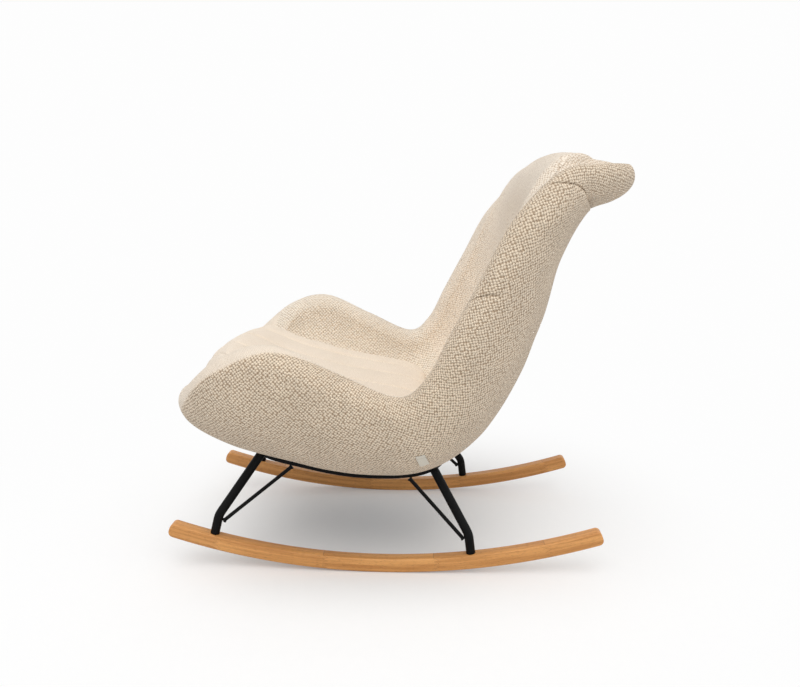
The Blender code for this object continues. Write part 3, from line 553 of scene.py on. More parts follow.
def make_piece(name, points, quads, finish, body="chair", cloth_map=None, band=None, sharp=50.0, weld=False):
    """A mesh piece from whole arrays, riding on a body."""
    used, flat = np.unique(np.asarray(quads).ravel(), return_inverse=True)
    quads = flat.reshape(-1, 4)
    mesh = bpy.data.meshes.new(name)
    mesh.vertices.add(len(used))
    mesh.vertices.foreach_set("co", points.reshape(-1, 3)[used].ravel())
    mesh.loops.add(quads.size)
    mesh.loops.foreach_set("vertex_index", quads.ravel())
    mesh.polygons.add(len(quads))
    mesh.polygons.foreach_set("loop_start", np.arange(0, quads.size, 4))
    mesh.update(calc_edges=True)
    if cloth_map is not None:
        layer = mesh.uv_layers.new(name="cloth")
        layer.data.foreach_set("uv", cloth_map.reshape(-1, 2)[used][quads.ravel()].ravel())
    if band is not None:
        share = mesh.attributes.new("fine_band", "FLOAT", "POINT")
        share.data.foreach_set("value", band.ravel()[used].astype(np.float32))
    if weld:
        merge_points(mesh)
    mesh.shade_smooth()
    mesh.set_sharp_from_angle(angle=math.radians(sharp))
    mesh.materials.append(finish)
    item = bpy.data.objects.new(name, mesh)
    scene.collection.objects.link(item)
    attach(item, body)
    return item


def dress(node):
    """Hide the CAD node whose place a piece takes."""
    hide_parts(node)


def merge_points(mesh, reach=1e-6):
    """Close seams and poles, whose points lie on each other."""
    shape = bmesh.new()
    shape.from_mesh(mesh)
    bmesh.ops.remove_doubles(shape, verts=shape.verts, dist=reach)
    bmesh.ops.recalc_face_normals(shape, faces=shape.faces)
    shape.to_mesh(mesh)
    shape.free()


def rim_quads(keep, top, under):
    """Walls between two grids round the cells that are kept, where the two grids differ."""
    bordered = np.pad(keep, 1)
    here = bordered[1:-1, 1:-1]
    corner = {"a": (slice(None, -1), slice(None, -1)), "b": (slice(None, -1), slice(1, None)),
              "c": (slice(1, None), slice(1, None)), "d": (slice(1, None), slice(None, -1))}
    beside = (("a", "b", bordered[:-2, 1:-1]), ("b", "c", bordered[1:-1, 2:]),
              ("c", "d", bordered[2:, 1:-1]), ("d", "a", bordered[1:-1, :-2]))
    walls = []
    for start, end, neighbour in beside:
        bare = here & ~neighbour & (top[corner[start]] != under[corner[start]])
        bare = bare & (top[corner[end]] != under[corner[end]])
        walls.append(np.stack([under[corner[start]][bare], under[corner[end]][bare],
                               top[corner[end]][bare], top[corner[start]][bare]], axis=-1))
    return np.concatenate(walls)


def closed_form(face, under, keep=None, closed=()):
    """Points and quads of a closed body between two grids.

    closed names the borders where the two grids meet in one line: first, last, left and right.
    """
    rows, columns = face.shape[:2]
    top = np.arange(rows * columns).reshape(rows, columns)
    low = top + rows * columns
    borders = {"first": np.s_[0, :], "last": np.s_[-1, :], "left": np.s_[:, 0], "right": np.s_[:, -1]}
    for border in closed:
        low[borders[border]] = top[borders[border]]
    if keep is None:
        keep = np.ones((rows - 1, columns - 1), bool)
    quads = np.concatenate([grid_quads(top)[keep], grid_quads(low, flip=True)[keep],
                            rim_quads(keep, top, low)])
    return np.concatenate([face.reshape(-1, 3), under.reshape(-1, 3)]), quads


def cloth_piece(name, face, under, cloth_map, finish, keep=None, closed=(), band=None):
    """A cover or a sheet: a closed body between two grids that share one map."""
    points, quads = closed_form(face, under, keep, closed)
    both = np.concatenate([cloth_map.reshape(-1, 2)] * 2)
    band = None if band is None else np.concatenate([band.ravel()] * 2)
    return make_piece(name, points, quads, finish, cloth_map=both, band=band)


print("mesh helpers ready")

# %% [markdown]
# ## The covers
# The shell wears four padded covers: outside and inside, each in a bowl for the seat and arms and a
# back that ends in the flared head. Outside and inside meet along the edge roll. Two short darts cross
# that roll on each side, where the cloth is taken in: one low on the back and one under the head. They
# are narrow grooves in the surface, so the grid gets closer rows there. The inside of the back is sewn
# into five faint upright channels. Low swells a few tenths of a millimetre high keep the padding from
# looking like plastic. A woven map has to keep its squares square, so each half cover is unrolled flat,
# as a cutter would draw its pattern, and its weave is drawn on that.

# %% Padded covers
COLUMNS = 180
ROW_STEP = 0.0060
DART_STEP = 0.0013
DARTS = (
    ((0.000, 0.834), (0.003, 0.844), (0.010, 0.863), (0.021, 0.881), (0.036, 0.888)),
    ((0.000, 1.106), (0.008, 1.127), (0.015, 1.145), (0.030, 1.162), (0.050, 1.166), (0.085, 1.156)),
)
DART_MARGINS = (0.012, 0.014)
DART_WIDTH = 0.0022
DART_DEPTH = 0.0042
DART_FADE = 0.012
DART_DIP = 0.35
DART_DIP_WIDTH = 0.009
DART_INSIDE = 0.45
SWELL_WAVES = 9
SWELL_LENGTHS = (0.05, 0.16)
SWELL_HEIGHT = 0.00016
ROLL_HALF = 0.030
BACK_CHANNELS = 5
BACK_CHANNEL_WIDTH = 0.105
BACK_CHANNEL_DEPTH = 0.0045
CHANNEL_FADE = 0.120
CHANNEL_SEAM_WIDTH = 0.0045
CHANNEL_DIP = 0.5
CHANNEL_DIP_WIDTH = 0.020
HEAD_START_U = 1.10
BAND_OUTSIDE = (0.075, 0.36)
BAND_INSIDE = (0.036, 0.10)
BAND_BLEND = 0.004
MIDDLE_SEAM = 0.0001


def eased(count):
    """Places from -1 to 1, closer together at the ends."""
    return np.sin(np.linspace(-1, 1, count) * np.pi / 2)


def end_rows(count):
    """Rows over the roundings of the lip and the head, closer together towards their edges."""
    share = 1 - np.cos(np.linspace(0, np.pi / 2, count))
    return np.concatenate([LIP_RADIUS * share, SPINE_LENGTH - HEAD_RADIUS * share])


def close_rows(low, high):
    """Rows from low to high, closer together across the darts."""
    rows = np.arange(low, high, ROW_STEP)
    for dart in DARTS:
        first, last = dart[0][1] - DART_MARGINS[0], dart[-1][1] + DART_MARGINS[1]
        fine = np.arange(first, last, DART_STEP)
        rows = np.concatenate([rows[(rows < first) | (rows > last)], fine[(fine > low) & (fine < high)]])
    ends = end_rows(24)
    rows = rows[(rows > LIP_RADIUS) & (rows < SPINE_LENGTH - HEAD_RADIUS)]
    rows = np.concatenate([rows, ends[(ends > low) & (ends < high)], [low, high]])
    return np.unique(np.round(rows, 6))


def swells(along, across):
    """Soft unevenness of stuffed cloth: a sum of a few long waves, about half a millimetre high."""
    rng = np.random.default_rng(7)
    total = np.zeros(np.broadcast(along, across).shape)
    for _ in range(SWELL_WAVES):
        turn, phase = rng.uniform(0, 2 * np.pi, 2)
        length = rng.uniform(*SWELL_LENGTHS)
        total += np.sin((along * np.cos(turn) + across * np.sin(turn)) * 2 * np.pi / length + phase)
    return total * SWELL_HEIGHT


def dart_grooves(us, vs, half_lengths, side):
    """Depth of the darts: a narrow bell across each dart's line, fading at its inner end."""
    inward = (1 - np.abs(vs))[None] * half_lengths
    depth = np.zeros_like(inward)
    for dart in DARTS:
        reach, place = np.array(dart).T
        stretch = 1.0 if side == OUTWARDS else DART_INSIDE
        line = np.interp(inward, reach * stretch, place)
        fade = np.clip((reach[-1] * stretch - inward) / DART_FADE, 0, 1)
        away = np.abs(us[:, None] - line)
        bell = np.exp(-(away / DART_WIDTH) ** 2) + DART_DIP * np.exp(-(away / DART_DIP_WIDTH) ** 2)
        depth += DART_DEPTH * fade * bell
    return depth


def channel_grooves(us, vs):
    """Depth of the upright channels of the inside back: a bell across each seam, faded at its ends."""
    half_length = half_section((BACK_SEAM_U + SPINE_LENGTH) / 2)
    seams = (np.arange(BACK_CHANNELS - 1) - (BACK_CHANNELS - 2) / 2) * BACK_CHANNEL_WIDTH
    away = np.abs(vs[None] * half_length - seams[:, None]).min(axis=0)
    across = np.exp(-(away / CHANNEL_SEAM_WIDTH) ** 2)
    across = across + CHANNEL_DIP * np.exp(-(away / CHANNEL_DIP_WIDTH) ** 2)
    fade = rounded(us - BACK_SEAM_U, CHANNEL_FADE) * rounded(HEAD_START_U - us, CHANNEL_FADE)
    return BACK_CHANNEL_DEPTH / (1 + CHANNEL_DIP) * fade[:, None] * across[None]


def unroll(points):
    """Flat places of a bent sheet's points, in metres: Blender's unwrapping with the least stretch.

    The unwrapped sheet is scaled by the ratio of the edges' lengths and turned so that the arm's edge,
    which is the last column, runs along the first axis.
    """
    index = np.arange(points[..., 0].size).reshape(points.shape[:2])
    quads = grid_quads(index).reshape(-1, 4)
    mesh = bpy.data.meshes.new("pattern")
    mesh.from_pydata(points.reshape(-1, 3).tolist(), [], quads.tolist())
    mesh.uv_layers.new(name="flat")
    item = bpy.data.objects.new("pattern", mesh)
    scene.collection.objects.link(item)
    bpy.context.view_layer.objects.active = item
    bpy.ops.object.mode_set(mode="EDIT")
    bpy.ops.mesh.select_all(action="SELECT")
    bpy.ops.uv.unwrap(method="MINIMUM_STRETCH", fill_holes=False)
    bpy.ops.object.mode_set(mode="OBJECT")
    corners = np.empty(quads.size * 2, np.float32)
    mesh.uv_layers["flat"].data.foreach_get("uv", corners)
    flat = np.zeros((index.size, 2))
    flat[quads.ravel()] = corners.reshape(-1, 2)
    bpy.data.objects.remove(item)
    flat = flat.reshape(*index.shape, 2)
    flat = flat * np.mean(lengths(points)[-1] / lengths(flat)[-1])
    run = flat[len(flat) // 3, -1] - flat[len(flat) // 9, -1]
    cosine, sine = run / np.linalg.norm(run)
    return flat @ np.array([[cosine, -sine], [sine, cosine]])


PATTERN_US = np.linspace(LIP_RADIUS, SPINE_LENGTH - HEAD_RADIUS, 90)
PATTERN_US = np.unique(np.concatenate([end_rows(8), PATTERN_US]))
PATTERN_VS = np.sin(np.linspace(0, 1, 50) * np.pi / 2)
PATTERNS = {side: unroll(face_points(PATTERN_US, PATTERN_VS, side)[0]) for side in (OUTWARDS, INWARDS)}


def cloth_metres(us, vs, side):
    """Metres along and across the cloth: the unrolled half cover, looked up by rows and then across.

    The right half is the left one's mirror image, which starts elsewhere on the same cloth. The grid
    has two columns close together in the middle, one for each half.
    """
    rows = len(us)
    places = np.broadcast_to(PATTERN_VS, (rows, len(PATTERN_VS)))
    query = np.broadcast_to(np.abs(vs), (rows, len(vs)))
    found = []
    for k in range(2):
        lines = looked_up(us, PATTERN_US, PATTERNS[side][..., k])
        found.append(lane_interp(query, places, lines))
    mirror = np.sign(vs + 1e-12)[None]
    return np.stack([found[0], found[1] * mirror + 0.5 * (mirror < 0)], axis=-1)


def fine_band(us, vs, half_lengths, half, side):
    """1 on the band of fine cloth that binds the front edge, and 0 elsewhere.

    The distance from the edge is the hypotenuse of the way along the middle surface and the padding's
    half thickness there. The band is widest at the lip and shrinks to nothing along the arm.
    """
    inward = np.minimum(us[:, None], (1 - np.abs(vs))[None] * half_lengths)
    width, reach = BAND_OUTSIDE if side == OUTWARDS else BAND_INSIDE
    width = width * np.clip(1 - us / reach, 0, 1)[:, None]
    return np.clip((width - np.hypot(inward, half)) / BAND_BLEND + 0.5, 0, 1) * (width > 0)


def cover(node, finish, low, high, side, closed, grooves=None, opening=None):
    """One padded cover between two places along the spine, for one CAD node."""
    us = close_rows(low, high)
    vs = np.unique(np.append(eased(COLUMNS + 1), -MIDDLE_SEAM))
    if opening is not None:
        us = np.unique(np.concatenate([us, opening[:2]]))
        vs = np.unique(np.concatenate([vs, [-opening[2], opening[2]]]))
    under, half_lengths = middle(us, vs)
    half = half_thickness(us, vs, half_lengths)
    flat = cloth_metres(us, vs, side)
    roll = np.clip(half / ROLL_HALF, 0, 1)
    lift = swells(us[:, None] + side, vs[None] * half_lengths) - dart_grooves(us, vs, half_lengths, side)
    lift = lift * roll
    if grooves is not None:
        lift = lift - grooves(us, vs) * roll
    face, _ = face_points(us, vs, side, lift)
    keep = None
    if opening is not None:
        mid_u, mid_v = (us[:-1] + us[1:]) / 2, (vs[:-1] + vs[1:]) / 2
        rows_open = (mid_u > opening[0]) & (mid_u < opening[1])
        keep = ~(rows_open[:, None] & (np.abs(mid_v) < opening[2])[None])
    band = fine_band(us, vs, half_lengths, half, side)
    if side == OUTWARDS:
        face, under, flat, band = face[:, ::-1], under[:, ::-1], flat[:, ::-1], band[:, ::-1]
        keep = None if keep is None else keep[:, ::-1]
    item = cloth_piece(node + "_cover", face, under + SHIFT, flat, finish, keep, closed, band)
    dress(node)
    print(item.name, len(item.data.polygons), "faces")


print("pattern grid:", len(PATTERN_US), "by", len(PATTERN_VS))

# %% [markdown]
# The outside of the bowl is open over the middle of its underside, where two battens take the bolts.
# The opening keeps inside the steel ring, with room for the dust cover's edge. Where the ring lies is
# found on the outer face: the face's lines are looked up row by row at a given x and y.

# %% Under the seat
RING_RADIUS = 0.008
RING_HALF_WIDTH = 0.178
RING_FRONT_Y = -0.275
RING_REAR_Y = 0.114
RING_CORNER_RADIUS = 0.055
RING_TO_SHELL = 0.0006
DUST_COVER_OVERLAP = 0.016
DUST_COVER_TO_RING = 0.006
BELLY_US = np.linspace(LIP_RADIUS, BACK_SEAM_U, 120)
BELLY_VS = np.linspace(0, 0.8, 120)
BELLY, BELLY_OUT = face_points(BELLY_US, BELLY_VS, OUTWARDS)


def belly(x, y):
    """Points of the shell's underside at arrays of x and y, and the directions out of it.

    Each row of the face is looked up at |x|, and the line of points so found is looked up at y.
    """
    x, y = np.atleast_1d(x).astype(float), np.atleast_1d(y).astype(float)
    query = np.broadcast_to(np.abs(x), (len(BELLY_US), len(x)))
    found = [lane_interp(query, BELLY[..., 0], grid[..., k]).T
             for grid in (BELLY, BELLY_OUT) for k in range(3)]
    y_lines = found[1] - SHIFT[1]
    z, out_x, out_y, out_z = (lane_interp(y[:, None], y_lines, found[k])[:, 0] for k in (2, 3, 4, 5))
    out = np.stack([np.sign(x) * np.abs(out_x), out_y, out_z], axis=-1)
    return np.stack([x, y, z], axis=-1) + SHIFT, out / np.linalg.norm(out, axis=-1, keepdims=True)


def underside_u(y):
    line = face_points(BELLY_US, np.array([0.0]), OUTWARDS)[0][:, 0, 1] - SHIFT[1]
    return float(np.interp(y, line, BELLY_US))


def underside_v(u, x):
    places = np.linspace(0, 0.9, 200)
    line = face_points(np.array([u]), places, OUTWARDS)[0][0, :, 0]
    return float(np.interp(x, line, places))


CORNER_SETBACK = (RING_CORNER_RADIUS - RING_RADIUS) * (1 - math.sqrt(0.5))
OPENING_MARGIN = RING_RADIUS + CORNER_SETBACK + DUST_COVER_TO_RING + DUST_COVER_OVERLAP
OPENING_FRONT_U = underside_u(RING_FRONT_Y + OPENING_MARGIN)
OPENING_REAR_U = underside_u(RING_REAR_Y - OPENING_MARGIN)
OPENING_EDGE_V = underside_v((OPENING_FRONT_U + OPENING_REAR_U) / 2, RING_HALF_WIDTH - OPENING_MARGIN)
OPENING = (OPENING_FRONT_U, OPENING_REAR_U, OPENING_EDGE_V)
print("opening under the seat:", [round(value, 3) for value in OPENING])

# %% Make the four covers
SEAT_CLOSED = ("first", "left", "right")
BACK_CLOSED = ("last", "left", "right")
cover("outside_bowl", SHADED_BEIGE_WEAVE, 0.0, BACK_SEAM_U, OUTWARDS, SEAT_CLOSED, opening=OPENING)
cover("outside_back", SHADED_BEIGE_WEAVE, BACK_SEAM_U, SPINE_LENGTH, OUTWARDS, BACK_CLOSED)
cover("inside_bowl", LIT_ARM_WEAVE, 0.0, BACK_SEAM_U, INWARDS, SEAT_CLOSED)
cover("inside_back", LIT_INSIDE_BACK_WEAVE, BACK_SEAM_U, SPINE_LENGTH, INWARDS, BACK_CLOSED, channel_grooves)

# %% [markdown]
# ## The seat cushion
# A loose foam cushion lies in the bowl. Its cover is paler and finer than the shell's, sewn into five
# channels from front to back, and drawn in at its ends. It could be sculpted by hand, but cloth finds
# its own swell: a slightly thin pad is made by formula and remeshed into even cells, and then air
# pressure blows it up for twenty frames while its underside and its seams are held. The map of the
# cloth comes after that, because remeshing loses it.

# %% The cushion's first form
CUSHION_FRONT_U = 0.004
CUSHION_REAR_U = 0.535
CUSHION_HALF_WIDTH = 0.292
CUSHION_HEIGHT = 0.094
CUSHION_CLEARANCE = 0.0018
CUSHION_FRONT_LIFT = 0.0034
CUSHION_LIFT_LENGTH = 0.300
CUSHION_RIM = 0.010
CUSHION_OVERHANG = 0.014
CUSHION_NOSE_LENGTH = 0.100
CUSHION_SIDE_LIMIT = 0.86
CUSHION_FRONT_SHARE = 0.86
CUSHION_REAR_SHARE = 0.66
CUSHION_SEAMS = (-0.6, -0.2, 0.2, 0.6)
CUSHION_CELLS = 80


def swell(t, power):
    """Crowned profile: 1 in the middle, 0 at t = -1 and t = 1."""
    return (1 - np.abs(t) ** power) ** (1 / power)


def cushion_grids(a, b):
    """Lower and upper points of the cushion, where a runs front to rear and b right to left, -1 to 1.

    The lower grid is the deck's own face, a little raised. The upper grid stands over it by a rim plus
    a crown, which is one swell along times another across, and at the front it leans out over the lip.
    """
    us = CUSHION_FRONT_U + (CUSHION_REAR_U - CUSHION_FRONT_U) * (a + 1) / 2
    half_lengths = middle(us, np.array([0.0]))[1]
    sides = np.minimum(CUSHION_HALF_WIDTH / half_lengths, CUSHION_SIDE_LIMIT)
    share = np.where(a < 0, CUSHION_FRONT_SHARE, CUSHION_REAR_SHARE)
    plan = share + (1 - share) * swell(a, 4)
    low, _ = face_points(us, b[None] * sides * plan[:, None], INWARDS, CUSHION_CLEARANCE)
    low[..., 2] += CUSHION_FRONT_LIFT * np.clip(1 - us / CUSHION_LIFT_LENGTH, 0, 1)[:, None]
    crown = swell(a, 2.9)[:, None] * swell(b, 2.2)[None]
    high = low.copy()
    nose = np.clip(1 - (us - CUSHION_FRONT_U) / CUSHION_NOSE_LENGTH, 0, 1)
    high[..., 1] -= CUSHION_OVERHANG * nose[:, None]
    high[..., 2] += CUSHION_RIM + (CUSHION_HEIGHT - CUSHION_RIM) * crown
    return low, high


CUSHION_PLACES = eased(CUSHION_CELLS + 1)
CUSHION_LOW, CUSHION_HIGH = cushion_grids(CUSHION_PLACES, CUSHION_PLACES)
SEAM_LINES = cushion_grids(eased(2 * CUSHION_CELLS + 1), np.array(CUSHION_SEAMS))[1]
CUSHION_POINTS, CUSHION_QUADS = closed_form(CUSHION_HIGH, CUSHION_LOW)
CUSHION = make_piece("seat_cushion_cover", CUSHION_POINTS, CUSHION_QUADS, PALE_WEAVE, "seat_cushion")
print("cushion:", np.round(np.ptp(CUSHION_POINTS, axis=0), 3), "m")

# %% Remesh and blow up
CELL_SIZE = 0.006
UNDERSIDE_SLOPE = -0.2
SEAM_HOLD = 0.004


def positions(mesh, key="co"):
    """Places of a mesh's points, or another of their values that has three numbers."""
    values = np.empty(len(mesh.vertices) * 3, np.float32)
    mesh.vertices.foreach_get(key, values)
    return values.reshape(-1, 3).astype(float)


def directions(mesh):
    return positions(mesh, "normal")


def freeze(item):
    """Give an object the mesh that its modifiers make, and drop them."""
    graph = bpy.context.evaluated_depsgraph_get()
    made = bpy.data.meshes.new_from_object(item.evaluated_get(graph))
    item.modifiers.clear()
    item.data = made
    return made


def even_cells(item, size):
    modifier = item.modifiers.new("even_cells", "REMESH")
    modifier.mode = "VOXEL"
    modifier.voxel_size = size
    return freeze(item)


def from_seams(points):
    """Distance from the nearest sewn line: the lines are looked up at each point's y."""
    away = [np.abs(points[:, 0] - np.interp(points[:, 1], line[:, 1], line[:, 0]))
            for line in SEAM_LINES.transpose(1, 0, 2)]
    return np.min(away, axis=0)


def blow_up(item, held, pressure=4.0, frames=20, most=0.008):
    """Swell a closed pad by air pressure: held points stay, and no point moves further than most."""
    before = positions(item.data)
    group = item.vertex_groups.new(name="held")
    group.add(np.flatnonzero(held).tolist(), 1.0, "REPLACE")
    cloth = item.modifiers.new("stuffing", "CLOTH")
    cloth.settings.quality = 4
    cloth.settings.use_pressure = True
    cloth.settings.uniform_pressure_force = pressure
    cloth.settings.vertex_group_mass = "held"
    cloth.settings.effector_weights.gravity = 0.0
    cloth.collision_settings.use_collision = False
    for number in range(1, frames + 1):
        scene.frame_set(number)
    move = positions(item.evaluated_get(bpy.context.evaluated_depsgraph_get()).data) - before
    item.modifiers.clear()
    item.vertex_groups.clear()
    far = np.maximum(np.linalg.norm(move, axis=1, keepdims=True), 1e-9)
    move = move * np.tanh(far / most) * most / far
    item.data.vertices.foreach_set("co", (before + move).astype(np.float32).ravel())
    item.data.update()
    scene.frame_set(1)
    return far


even_cells(CUSHION, CELL_SIZE)
spots, facing = positions(CUSHION.data), directions(CUSHION.data)
moved = blow_up(CUSHION, (facing[:, 2] < UNDERSIDE_SLOPE) | (from_seams(spots) < SEAM_HOLD))
print("cushion points:", len(spots), "and the most that one moved:", round(float(moved.max()), 4), "m")

# %% [markdown]
# The seams are pressed in once the pad is full: a narrow bell across each sewn line, with a wide shallow
# one beside it, where the foam is drawn down. The map measures metres over the crown, front to rear
# along the middle, and across by the length of the middle's cross-section.

# %% Sewn channels and the cloth's map
SEAM_DEPTH = 0.0055
SEAM_WIDTH = 0.0035
SEAM_DIP = 0.3
SEAM_DIP_WIDTH = 0.016
CUSHION_SWELLS = 1.3


def sew(item):
    """Press the seams in along the surface's normals, on the top and the ends but not underneath."""
    points, facing = positions(item.data), directions(item.data)
    away = from_seams(points)
    bell = (1 - SEAM_DIP) * np.exp(-(away / SEAM_WIDTH) ** 2)
    bell = bell + SEAM_DIP * np.exp(-(away / SEAM_DIP_WIDTH) ** 2)
    shown = np.clip((facing[:, 2] + 0.35) / 0.5, 0, 1)
    lift = swells(points[:, 1], points[:, 0]) * CUSHION_SWELLS * shown - SEAM_DEPTH * bell * shown
    item.data.vertices.foreach_set("co", (points + facing * lift[:, None]).astype(np.float32).ravel())
    item.data.update()


def map_cushion(item):
    """Nearest place on the crown's middle line, and the length across the crown, in metres."""
    points = positions(item.data)
    half = CUSHION_CELLS // 2
    ridge, arch = CUSHION_HIGH[:, half], CUSHION_HIGH[half, half:]
    away = (points[:, 1:2] - ridge[None, :, 1]) ** 2 + (points[:, 2:3] - ridge[None, :, 2]) ** 2
    near = np.argmin(away, axis=1)
    rows = np.linspace(0, 1, len(ridge))
    across = np.interp(np.abs(points[:, 0]), arch[:, 0], lengths(arch)) * np.sign(points[:, 0])
    along = lengths(ridge)[near] + (points[:, 1] - ridge[near, 1]) * (np.abs(rows[near] - 0.5) < 0.45)
    flat = np.stack([along, across], axis=-1)
    corners = np.empty(len(item.data.loops), np.int32)
    item.data.loops.foreach_get("vertex_index", corners)
    layer = item.data.uv_layers.new(name="cloth")
    layer.data.foreach_set("uv", flat[corners].astype(np.float32).ravel())


map_cushion(CUSHION)
ROUNDER = CUSHION.modifiers.new("rounder", "SUBSURF")
ROUNDER.levels = ROUNDER.render_levels = 1
freeze(CUSHION)
sew(CUSHION)
CUSHION.data.shade_smooth()
dress("seat_cushion")
print("cushion cover:", len(CUSHION.data.polygons), "faces")

# %% [markdown]
# ## Sheets of cloth
# Two flat cloths finish the shell. A blank tab of cream tape is sewn to the left flank by its upper end,
# and its lower end stands off a little. Under the seat, a black spun-bonded cloth is stretched over the
# opening and tacked down, with a folded hem round it.

# %% Tape and spun-bonded finishes


def tape_finish():
    """Fine plain weave with a row of stitches near its sewn end."""
    finish = Finish("cream_tape")
    along, across = finish.cloth()
    rib = (across / 0.0006 * math.pi).math("SINE") * (along / 0.0006 * math.pi).math("SINE")
    speck = noise(join(along, across, 0.4), 900.0, 2.0)
    tone = mix_colour(speck * 0.7 + rib * 0.15 + 0.15, (0.60, 0.55, 0.46), (0.86, 0.82, 0.73))
    dash = smooth_step((along / 0.0026).math("FRACT"), 0.30, 0.40)
    row = 1 - smooth_step((across - 0.0290).math("ABSOLUTE"), 0.0003, 0.0006)
    stitch = dash * row
    tone = mix_colour(stitch * 0.75, tone, (0.42, 0.35, 0.26))
    height = rib * 0.2 + speck * 0.3 + stitch * 0.8
    return finish.set(Base_Color=tone, Roughness=speck * 0.1 + 0.85, Normal=relief(height, 0.0003),
                      Specular_IOR_Level=0.15)


def lining_finish():
    """Spun-bonded cloth: black, with the small pressed dots that bond its fibres."""
    finish = Finish("black_lining")
    along, across = finish.cloth()
    a, b = ((value / 0.0024 * 2 * math.pi).math("SINE") for value in (along + across, along - across))
    dots = smooth_step(a * b, 0.35, 0.75)
    fibre = noise(join(along, across, 0.8), 700.0, 3.0, 0.7)
    tone = mix_colour(fibre - dots * 0.4, (0.008, 0.008, 0.009), (0.040, 0.040, 0.042))
    return finish.set(Base_Color=tone, Roughness=fibre * 0.15 + 0.80,
                      Normal=relief(fibre * 0.5 - dots, 0.0003), Specular_IOR_Level=0.2)


CREAM_TAPE = tape_finish()
BLACK_LINING = lining_finish()
print("sheets:", CREAM_TAPE.name, BLACK_LINING.name)

# %% Tab and dust cover
TAB_U = 0.526
TAB_ARC = 0.330
TAB_CUT = (0.017, 0.028)
TAB_THICKNESS = 0.0009
TAB_CURL = 0.0016
LINING_THICKNESS = 0.0007
SHEET_LIFT = 0.0009
SHEET_WAVE = 0.0002
HEM_WIDTH = 0.010
HEM_SLOPE = 0.0015
HEM_THICKNESS = 0.0004


def flank_sheet(name, us, vs, offset, thickness, finish):
    """A sheet on the outer face, and its flat size: offset and thickness are arrays over its grid."""
    under = face_points(us, vs, OUTWARDS, offset)[0][:, ::-1]
    face = face_points(us, vs, OUTWARDS, offset + thickness)[0][:, ::-1]
    size = (float(lengths(face)[-1].mean()), float(lengths(face.transpose(1, 0, 2))[-1].mean()))
    share_u = (us - us[0]) / (us[-1] - us[0])
    share_v = (vs[::-1] - vs[0]) / (vs[-1] - vs[0])
    flat = np.stack(np.meshgrid(share_u * size[0], share_v * size[1], indexing="ij"), axis=-1)
    return cloth_piece(name, face, under, flat, finish), size


def sewn_tab():
    """Flat at its upper end, and curling up by the square of the distance towards its lower end."""
    half_length = half_section(TAB_U)
    us = TAB_U + np.linspace(-0.5, 0.5, 25) * TAB_CUT[0]
    vs = (TAB_ARC + np.linspace(-0.5, 0.5, 27) * TAB_CUT[1]) / half_length
    loose = np.linspace(1, 0, len(vs))[None]
    curl = TAB_CURL * loose ** 2
    wave = SHEET_WAVE * np.sin(np.linspace(0, 7, len(us)))[:, None] * loose
    return flank_sheet("cream_tab", us, vs, SHEET_LIFT + curl + wave, TAB_THICKNESS, CREAM_TAPE)


def dust_cover():
    """Stretched over the opening, and a hair thicker in its hem."""
    half_length = half_section((OPENING_FRONT_U + OPENING_REAR_U) / 2)
    side = OPENING_EDGE_V + DUST_COVER_OVERLAP / half_length
    us = np.linspace(OPENING_FRONT_U - DUST_COVER_OVERLAP, OPENING_REAR_U + DUST_COVER_OVERLAP, 90)
    vs = np.linspace(-side, side, 90)
    rim_u = np.minimum(us - us[0], us[-1] - us)[:, None]
    rim_v = (side - np.abs(vs))[None] * half_length
    hem = np.clip((HEM_WIDTH - np.minimum(rim_u, rim_v)) / HEM_SLOPE, 0, 1)
    sag = SHEET_WAVE * np.sin(us * 90)[:, None] * np.sin(vs * 40)[None] * (1 - hem)
    thickness = LINING_THICKNESS + HEM_THICKNESS * hem
    return flank_sheet("dust_cover_cloth", us, vs, SHEET_LIFT + sag, thickness, BLACK_LINING)


TAB, TAB_SIZE = sewn_tab()
dress("sewn_tab")
LINING, LINING_SIZE = dust_cover()
dress("dust_cover")
print("tab and dust cover:", [[round(value, 3) for value in size] for size in (TAB_SIZE, LINING_SIZE)])

# %% [markdown]
# ## The steel underframe
# A ring of steel bar is pressed up against the shell. Four splayed tubes run from its corners down to
# the runners, and a thin brace stiffens each of them. On the real chair these are bent on a machine,
# welded and powder coated. Each one here is a round profile carried along a path: pairs of distance and
# radius, so that a tube can be hollow at its foot and rounded where it is welded.

# %% Profiles carried along paths
SIDEWAYS = (1.0, 0.0, 0.0)
UPWARDS = (0.0, 0.0, 1.0)


def unit(vectors):
    return vectors / np.linalg.norm(vectors, axis=-1, keepdims=True)


def hoops(spots, heading, reference, radius, sides):
    """Rings of points square to a path.

    A ring's point is the path's point plus the radius times cos(turn) of one side vector and sin(turn)
    of the other; the first is the path's direction crossed with the reference.
    """
    first = unit(np.cross(heading, reference))[:, None]
    second = np.cross(heading, first[:, 0])[:, None]
    turn = np.linspace(0, 2 * np.pi, sides, endpoint=False)[:, None]
    return spots[:, None] + radius[:, None, None] * (np.cos(turn) * first + np.sin(turn) * second)


def hoop_quads(rings, closed=False):
    """Quads over rings of points; on a closed path the last ring joins the first."""
    index = np.arange(rings[..., 0].size).reshape(rings.shape[:2])
    index = np.concatenate([index, index[:1]]) if closed else index
    return grid_quads(np.concatenate([index, index[:, :1]], axis=1)).reshape(-1, 4)


def carried(name, path, profile, finish, sides=24):
    """A round piece: each (distance, radius) of the profile is a ring square to the path.

    Past the path's ends, distances go straight on.
    """
    far = lengths(path)
    distance, radius = np.array(profile).T
    heading = unit(looked_up(distance, far, unit(np.gradient(path, far, axis=0))))
    beyond = np.clip(distance - far[-1], 0, None)[:, None] + np.clip(distance, None, 0)[:, None]
    spots = looked_up(distance, far, path) + heading * beyond
    rings = hoops(spots, heading, SIDEWAYS, radius, sides)
    return make_piece(name, rings, hoop_quads(rings), finish, weld=True, sharp=40.0)


